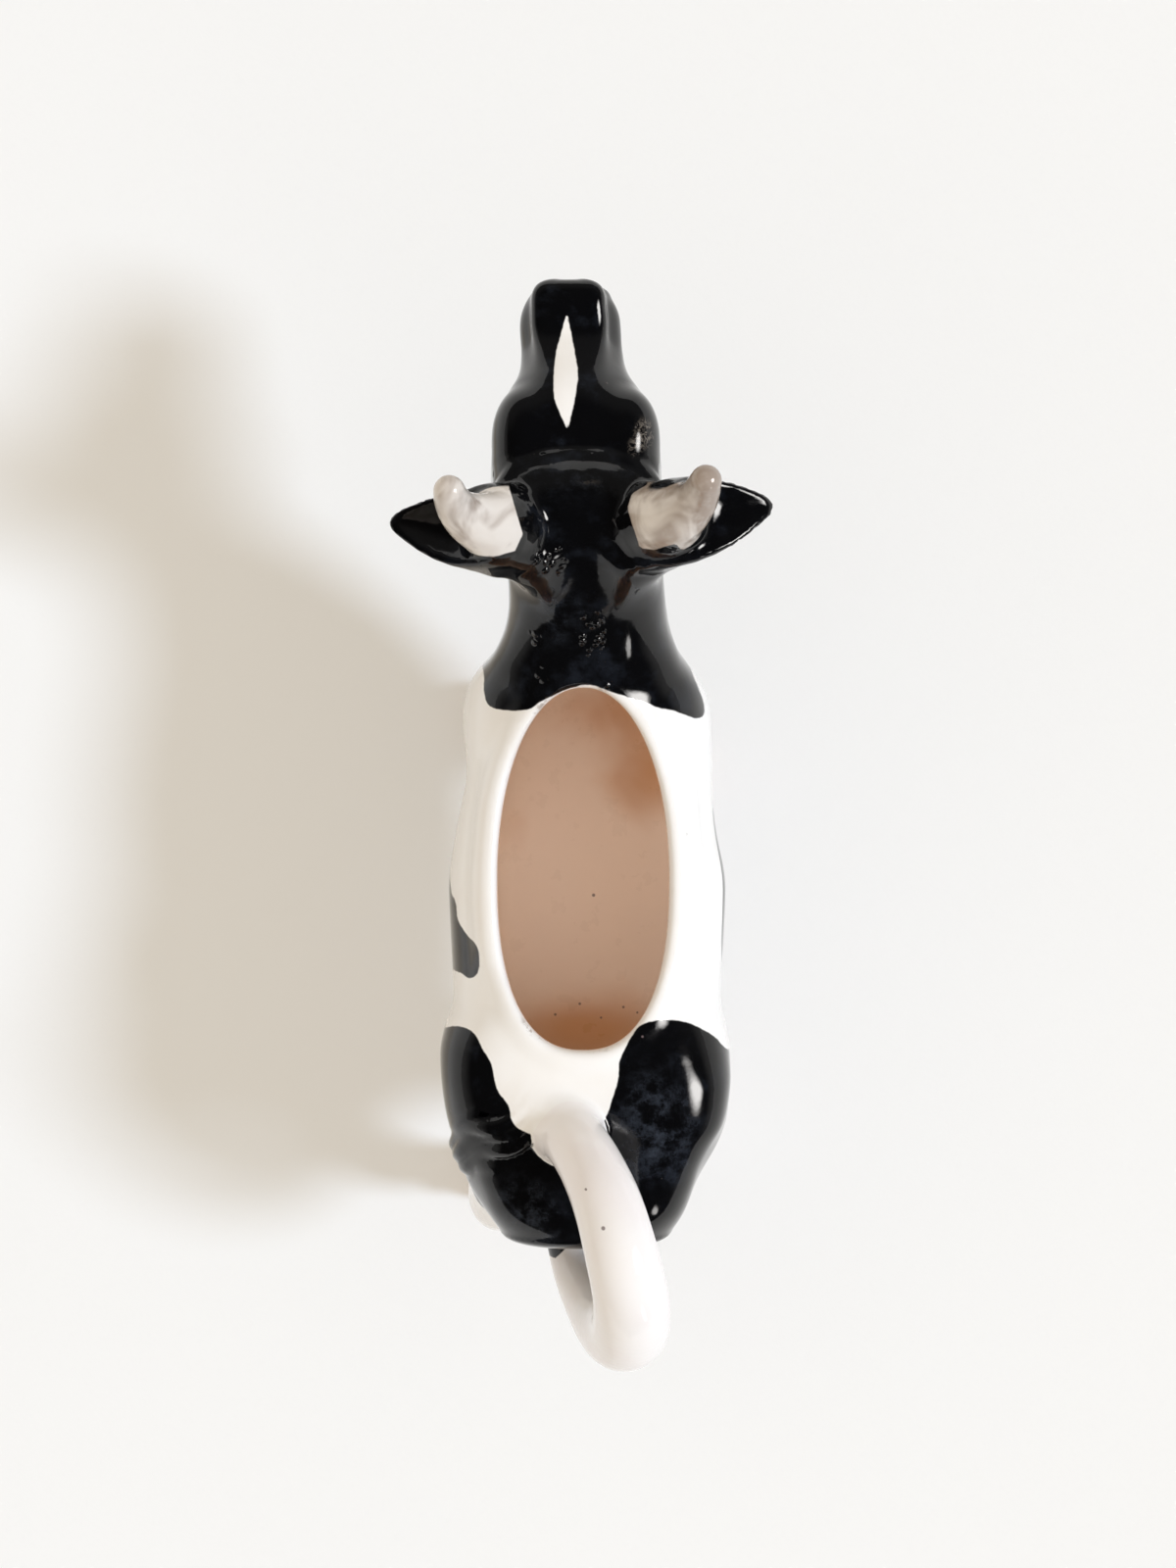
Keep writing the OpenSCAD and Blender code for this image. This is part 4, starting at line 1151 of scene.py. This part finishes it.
MATS = {
    "white_glaze": glaze("glaze_white", dots_at=((2.0, -12.6, .3), (-5.2, -35.0, .24), (-.6, -33.0, .24), (7.6, -33.6, .24), (10.2, -34.6, .2), (3.4, -35.6, .2))),
    "black_glaze": glaze("glaze_black"),
    "horn_glaze": glaze("glaze_horn"),
    "leg_glaze": glaze("glaze_leg", (0.91, 0.88, 0.845), (0.87, 0.82, 0.77)),
    "udder_glaze": glaze("glaze_udder", pink=(0.80, 0.50, 0.42)),
    "tail_glaze": glaze("glaze_tail", (0.925, 0.895, 0.87), (0.90, 0.85, 0.81), pink=(0.905, 0.85, 0.83), dots_at=((3.4, -63.2, .32), (.6, -57.6, .2))),
}

NODES = {0: ("body_shell", "white_glaze"), 1: ("horn_left", "horn_glaze"), 2: ("horn_right", "horn_glaze"),
         3: ("ear_left", "black_glaze"), 4: ("ear_right", "black_glaze"), 5: ("front_left_leg", "leg_glaze"),
         6: ("front_right_leg", "leg_glaze"), 7: ("rear_left_leg", "leg_glaze"), 8: ("rear_right_leg", "leg_glaze"),
         9: ("udder", "udder_glaze"), 10: ("tail_handle", "tail_glaze"), 11: ("tail_tuft", "black_glaze"),
         12: ("neck_head_shell", "black_glaze")}

# eyes: almond whites and round pupils, as distances
eye = np.full(len(V), 9.0)
pupil = np.full(len(V), 9.0)
for s in (-1, 1):
    e, turn = eye_frame(s)
    q = (V - e) @ turn
    near = np.linalg.norm(V - e, axis=1) < 5
    almond = np.sqrt((q[:, 0] / 1.5) ** 2 + q[:, 1] ** 2) - 1.6
    eye = np.where(near, np.minimum(eye, almond), eye)
    pupil = np.where(near, np.minimum(pupil, np.sqrt((q[:, 0] - .2) ** 2 + q[:, 1] ** 2) - 1.3), pupil)

# painted shade and light inside the hollow: darker along the right wall, a strip of the left wall, the front and the
# rear, lighter in the middle and along a thin band across the floor
inside_tone = np.zeros(len(V))
for px, py, rx, ry, w in ((13, 9, 9, 8, 1.0), (0, -38, 16, 7, .9), (4, 22, 14, 8, .7), (-12, 2, 4, 26, .25), (0, -14, 12, 1.2, -.3), (-2, -6, 9, 9, -.22)):
    inside_tone += w * np.exp(-(((V[:, 0] - px) / rx) ** 2 + ((V[:, 1] - py) / ry) ** 2))
rim_d, _, _ = oval(V)
chip = np.zeros(len(V))
for px, py, rx, ry, w in ((-8.4, 22.6, 3.0, 2.6, 1.0), (-10.2, -34.2, 3.4, 2.6, 1.0), (5.5, -36.8, 5.0, 2.0, .5), (-12.6, 12.0, 1.6, 6.0, .35), (-13.4, -24.0, 2.0, 5.0, .35)):
    chip += w * np.exp(-(((V[:, 0] - px) / rx) ** 2 + ((V[:, 1] - py) / ry) ** 2))
rim = np.where((V[:, 2] > 72) & (np.abs(rim_d) < 5) & (V[:, 1] < 30), np.abs(rim_d - 0.35) + 0.25 - 1.1 * chip, 9.0)


def blobs(rows, z0):
    """Soft marks at (x, y, radius x, radius y, weight) on the skin above z0."""
    v = np.zeros(len(V))
    for px, py, rx, ry, w in rows:
        v += w * np.exp(-(((V[:, 0] - px) / rx) ** 2 + ((V[:, 1] - py) / ry) ** 2))
    return np.where(V[:, 2] > z0, v, 0.0)


# blisters in the glaze on the nape; rubbed glaze with a painted sheen on the right brow and across the poll; dust and a
# painted bluish sheen on the hips, the poll and the nape
blister = blobs([(1.6, 33.6, 2.3, 3.9, 1.0), (-5.4, 44.6, 3.0, 2.6, .9), (-8.0, 33.0, 1.6, 2.4, .6), (-7.0, 26.8, 2.6, 2.0, .7), (3.6, 24.6, 2.0, 1.4, .5)], 78)
scuff_and_sheen = blobs([(10.2, 65.6, 1.5, 2.4, 1.0), (8.4, 63.0, 1.1, 1.6, .6), (1.0, 56.8, 3.0, .8, .3)], 84)
dust_and_sheen = blobs([(12.5, -50.0, 6.0, 7.5, 1.0), (-10.0, -66.0, 6.0, 5.0, .7), (0, 57, 7, 2.5, .35), (-4, 36, 4, 4, .35)], 60)
ATTRS = {"paint_black": black, "paint_horn": horn, "paint_inner": inner, "paint_hoof": hoof, "paint_eye": eye, "paint_pupil": pupil, "paint_rim": rim, "paint_inside_shade": inside_tone,
         "paint_blister": blister, "paint_scuff_and_sheen": scuff_and_sheen, "paint_dust_and_sheen": dust_and_sheen}

# ------------------------------------------------------------------ the hidden faces where pieces are luted together
def rim_loops(k, against=None):
    """Closed rows of vertices round the open edges of piece k, in the direction of its own edges."""
    big = len(V)
    he = np.concatenate([T[:, [0, 1]], T[:, [1, 2]], T[:, [2, 0]]]).astype(np.int64)
    own = np.tile(lab, 3)
    key = he[:, 0] * big + he[:, 1]
    rev = he[:, 1] * big + he[:, 0]
    order = np.argsort(key)
    at = order[np.clip(np.searchsorted(key[order], rev), 0, len(key) - 1)]
    other = own[at]
    edge = (own == k) & (other != k)
    if against is not None:
        edge &= other == against
    nxt = {}
    for a, b in he[edge].tolist():
        nxt.setdefault(a, []).append(b)
    loops = []
    while nxt:
        start = next(iter(nxt))
        loop = [start]
        cur = start
        while cur in nxt:
            b = nxt[cur].pop()
            if not nxt[cur]:
                del nxt[cur]
            if b == start:
                break
            loop.append(b)
            cur = b
        loops.append(np.array(loop))
    return loops


def settle(P, level):
    """Moves points onto the surface where the trunk's distance is level."""
    P = P.copy()
    for _ in range(5):
        f = trunk(P) - level
        g = sum(t[None, :] * (trunk(P + t * 0.05) - level - f)[:, None] for t in TET) / (4 * 0.05)
        step = -(f / np.maximum((g * g).sum(1), 0.1))[:, None] * g
        ln = np.linalg.norm(step, axis=1)
        P += step * np.minimum(1, 0.8 / np.maximum(ln, 1e-9))[:, None]
    # and keeps them under the skin
    for _ in range(6):
        f = np.maximum(field(P) + 0.3, 0)
        if not f.any():
            break
        g = gradient(P)
        step = -(f / np.maximum((g * g).sum(1), 0.1))[:, None] * g
        ln = np.linalg.norm(step, axis=1)
        P += step * np.minimum(1, 0.6 / np.maximum(ln, 1e-9))[:, None]
    return P


new_v, new_src, caps = [], [], []
count = len(V)
for k in range(1, 12):
    host = 12 if k in (1, 2, 3, 4) else 0
    for loop in rim_loops(k):
        n = len(loop)
        if n < 3:
            continue
        L = V[loop]
        level = D[loop, 0]
        rings = [loop]
        for t in ((0.3, 0.65) if n > 12 else ()):
            P = L * (1 - t) + L.mean(0) * t
            P = settle(P, level * (1 - t) + level.mean() * t)
            rings.append(np.arange(count, count + n))
            new_v.append(P)
            new_src.append(loop)
            count += n
        mid = settle(L.mean(0)[None, :], np.array([level.mean()])) if n > 12 else L.mean(0)[None, :]
        new_v.append(mid)
        new_src.append(loop[:1])
        c = count
        count += 1
        for r0, r1 in zip(rings[:-1], rings[1:]):
            a0, b0, a1, b1 = r0, np.roll(r0, -1), r1, np.roll(r1, -1)
            caps.append((k, host, np.stack([b0, a0, a1], 1)))
            caps.append((k, host, np.stack([b0, a1, b1], 1)))
        a, b = rings[-1], np.roll(rings[-1], -1)
        caps.append((k, host, np.stack([b, a, np.full(n, c)], 1)))

# the joint across the neck is a ring between the outer skin and the throat
ring = sorted(rim_loops(12, 0), key=len)
print("neck joint loops", [len(r) for r in ring])
if len(ring) == 2:
    inner_l, outer_l = ring[0][::-1], ring[1]
    mid = V[inner_l].mean(0)
    up = np.array([0, -math.sin(math.radians(20)), math.cos(math.radians(20))])

    def turns(loop):
        q = V[loop] - mid
        a = np.unwrap(np.arctan2(q @ up, q[:, 0]))
        return a, np.sign(a[-1] - a[0])

    ao, so = turns(outer_l)
    ai, si = turns(inner_l)
    ao, ai = ao * so, ai * so
    shift = int(np.argmin(np.abs((ai - ao[0] + math.pi) % (2 * math.pi) - math.pi)))
    inner_l = np.roll(inner_l, -shift)
    ai = turns(inner_l)[0] * so
    ai += 2 * math.pi * round((ao[0] - ai[0]) / (2 * math.pi))
    ao = np.append(ao, ao[0] + 2 * math.pi)
    ai = np.append(ai, ai[0] + 2 * math.pi)
    i = j = 0
    no, ni = len(outer_l), len(inner_l)
    tri = []
    while i < no or j < ni:
        if j >= ni or (i < no and ao[i + 1] <= ai[j + 1]):
            tri.append((outer_l[(i + 1) % no], outer_l[i % no], inner_l[j % ni]))
            i += 1
        else:
            tri.append((inner_l[j % ni], inner_l[(j + 1) % ni], outer_l[i % no]))
            j += 1
    caps.append((12, 0, np.array(tri)))
    print("neck joint same sense", so == si, len(tri))

extra = np.concatenate(new_v)
src = np.concatenate([np.broadcast_to(a, len(b)) if len(a) == 1 else a for a, b in zip(new_src, new_v)])
print("hidden faces", sum(len(c[2]) for c in caps), "least clay to the hollow, mm", round(float(cavity(extra).min()), 2), "highest above the skin, mm", round(float(field(extra).max()), 2))
V = np.vstack([V, extra])
N = np.vstack([N, N[src]])
ATTRS = {a: np.concatenate([v, v[src]]) for a, v in ATTRS.items()}
T = np.vstack([T] + [c[2] for c in caps] + [c[2][:, ::-1] for c in caps])
lab = np.concatenate([lab] + [np.full(len(c[2]), c[0]) for c in caps] + [np.full(len(c[2]), c[1]) for c in caps])

pieces = {}
for k, (name, slot) in NODES.items():
    t = T[lab == k]
    h = np.concatenate([t[:, [0, 1]], t[:, [1, 2]], t[:, [2, 0]]]).astype(np.int64)
    open_edges = int((~np.isin(h[:, 0] * len(V) + h[:, 1], h[:, 1] * len(V) + h[:, 0])).sum())
    if open_edges:
        print("open edges left on", name, open_edges)
    ids, inv = np.unique(t, return_inverse=True)
    me = bpy.data.meshes.new(name + "_skin")
    me.from_pydata((V[ids] / 1000).tolist(), [], inv.reshape(-1, 3).tolist())
    me.polygons.foreach_set("use_smooth", np.ones(len(t), bool))
    for a, v in ATTRS.items():
        at = me.attributes.new(a, "FLOAT", "POINT")
        at.data.foreach_set("value", np.clip(v[ids], -9, 9).astype(np.float32))
    me.normals_split_custom_set_from_vertices(N[ids].tolist())
    me.materials.append(MATS[slot])
    me.update()
    ob = bpy.data.objects.new(name + "_skin", me)
    bpy.context.scene.collection.objects.link(ob)
    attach(ob, "root")
    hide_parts(name)
    pieces[name] = ob

# ------------------------------------------------------------------ floor
fm = Shade("floor_paper")
cloud = fm.noise(3.0, 2.0)
fm.link(fm.mix(fm.ramp(cloud, 0.3, 0.7), (0.862, 0.86, 0.855), (0.88, 0.878, 0.872)), fm.bsdf.inputs["Base Color"])
fm.link(fm.ramp(fm.noise(900.0), 0.3, 0.7, 0.75, 0.9), fm.bsdf.inputs["Roughness"])
fm.bsdf.inputs["Specular IOR Level"].default_value = 0.2
fm.link(fm.bump(fm.noise(1500.0), 0.05, 0.0002), fm.bsdf.inputs["Normal"])
me = bpy.data.meshes.new("floor")
me.from_pydata([(-4, -4, -0.0002), (4, -4, -0.0002), (4, 4, -0.0002), (-4, 4, -0.0002)], [], [(0, 1, 2, 3)])
me.materials.append(fm.mat)
floor = bpy.data.objects.new("floor", me)
bpy.context.scene.collection.objects.link(floor)

# ------------------------------------------------------------------ light
world = bpy.data.worlds.new("soft_room")
bpy.context.scene.world = world
world.use_nodes = True
wt = world.node_tree
wt.nodes.clear()
w_out = node(wt, "ShaderNodeOutputWorld")
bg_a = node(wt, "ShaderNodeBackground")
bg_b = node(wt, "ShaderNodeBackground")
mixw = node(wt, "ShaderNodeMixShader")
path = node(wt, "ShaderNodeLightPath")
bg_a.inputs["Color"].default_value = (0.778, 0.712, 0.616, 1.0)
tc = node(wt, "ShaderNodeTexCoord")
sep = node(wt, "ShaderNodeSeparateXYZ")
wt.links.new(tc.outputs["Generated"], sep.inputs[0])


def wmath(op, a, b=None, clamp=False):
    n = node(wt, "ShaderNodeMath", operation=op, use_clamp=clamp)
    for s, v in zip(n.inputs, (a, b)):
        if v is None:
            continue
        if isinstance(v, bpy.types.NodeSocket):
            wt.links.new(v, s)
        else:
            s.default_value = v
    return n.outputs[0]


def wramp(x, lo, hi, a, b):
    n = node(wt, "ShaderNodeMapRange", interpolation_type="SMOOTHSTEP")
    wt.links.new(x, n.inputs["Value"])
    for k, v in (("From Min", lo), ("From Max", hi), ("To Min", a), ("To Max", b)):
        n.inputs[k].default_value = v
    return n.outputs[0]


X, Y, Z = sep.outputs
# what the gloss sees: dark overhead and behind, a bright room in front and at the sides, and the window
front = wmath("MULTIPLY", wramp(Y, 0.05, 0.70, 0.012, 0.12), wramp(Z, 0.34, 0.80, 1.0, 0.08))
sides = wmath("MULTIPLY", wmath("MAXIMUM", wramp(X, 0.66, 1.0, 0.0, 0.50), wramp(X, -1.0, -0.66, 0.40, 0.0)), wramp(Z, 0.02, 0.36, 1.0, 0.01))
gloss = wmath("MAXIMUM", front, sides)
# matt surfaces get a little more light from above than from the sides
wt.links.new(wmath("MULTIPLY", wramp(Z, 0.0, 1.0, 0.50, 1.215), wramp(X, -1.0, 1.0, 1.10, 0.92)), bg_a.inputs["Strength"])


def wdot(v):
    n = node(wt, "ShaderNodeVectorMath", operation="DOT_PRODUCT")
    wt.links.new(tc.outputs["Generated"], n.inputs[0])
    n.inputs[1].default_value = v
    return n.outputs["Value"]


def towards(az, el):
    az, el = math.radians(az), math.radians(el)
    return Vector((math.cos(el) * math.cos(az), math.cos(el) * math.sin(az), math.sin(el)))


def pane(az, el, wide, high, soft, power):
    """A soft window, seen only in the gloss."""
    d = towards(az, el)
    side = Vector((-d.y, d.x, 0)).normalized()
    up = d.cross(side)
    u = wmath("DIVIDE", wdot(side), wide)
    v = wmath("DIVIDE", wdot(up), high)
    r = wmath("SQRT", wmath("ADD", wmath("MULTIPLY", u, u), wmath("MULTIPLY", v, v)))
    p = wmath("MULTIPLY", wramp(r, 1.0 - soft, 1.0 + soft, 1.0, 0.0), wramp(wdot(d), 0.3, 0.31, 0.0, 1.0))
    return wmath("MULTIPLY", p, power)


wdir = towards(-10, 42.5)
gloss = wmath("ADD", gloss, pane(-6, 41, 0.23, 0.18, 0.4, 26.0))
gloss = wmath("ADD", gloss, pane(-57, 15, 0.05, 0.11, 0.4, 10.0))
wt.links.new(gloss, bg_b.inputs["Strength"])
bg_b.inputs["Color"].default_value = (1.0, 0.975, 0.95, 1.0)
wt.links.new(path.outputs["Is Glossy Ray"], mixw.inputs[0])
wt.links.new(bg_a.outputs[0], mixw.inputs[1])
wt.links.new(bg_b.outputs[0], mixw.inputs[2])
# a bright backdrop behind the floor's edge
bg_c = node(wt, "ShaderNodeBackground")
bg_c.inputs["Color"].default_value = (0.86, 0.86, 0.85, 1.0)
mixc = node(wt, "ShaderNodeMixShader")
wt.links.new(path.outputs["Is Camera Ray"], mixc.inputs[0])
wt.links.new(mixw.outputs[0], mixc.inputs[1])
wt.links.new(bg_c.outputs[0], mixc.inputs[2])
wt.links.new(mixc.outputs[0], w_out.inputs["Surface"])


sun = bpy.data.lights.new("window_light", "SUN")
sun.energy = 1.92
sun.angle = math.radians(11)
sun.color = (0.73, 0.862, 1.05)
sun_ob = bpy.data.objects.new("window_light", sun)
bpy.context.scene.collection.objects.link(sun_ob)
sun_ob.rotation_euler = wdir.to_track_quat("Z", "Y").to_euler()
sun_ob.visible_glossy = False

# ------------------------------------------------------------------ camera
cam_data = bpy.data.cameras.new("camera")
cam_data.sensor_fit = "VERTICAL"
cam_data.sensor_height = 36.0
cam_data.lens = 52.65
cam_data.clip_start = 0.01
cam_data.clip_end = 20.0
cam = bpy.data.objects.new("camera", cam_data)
bpy.context.scene.collection.objects.link(cam)
cam.location = (0.00095, 0.0083, 0.470)
cam.rotation_euler = (0.0, 0.0, 0.0)
bpy.context.scene.camera = cam
bpy.context.scene.view_settings.view_transform = "Standard"
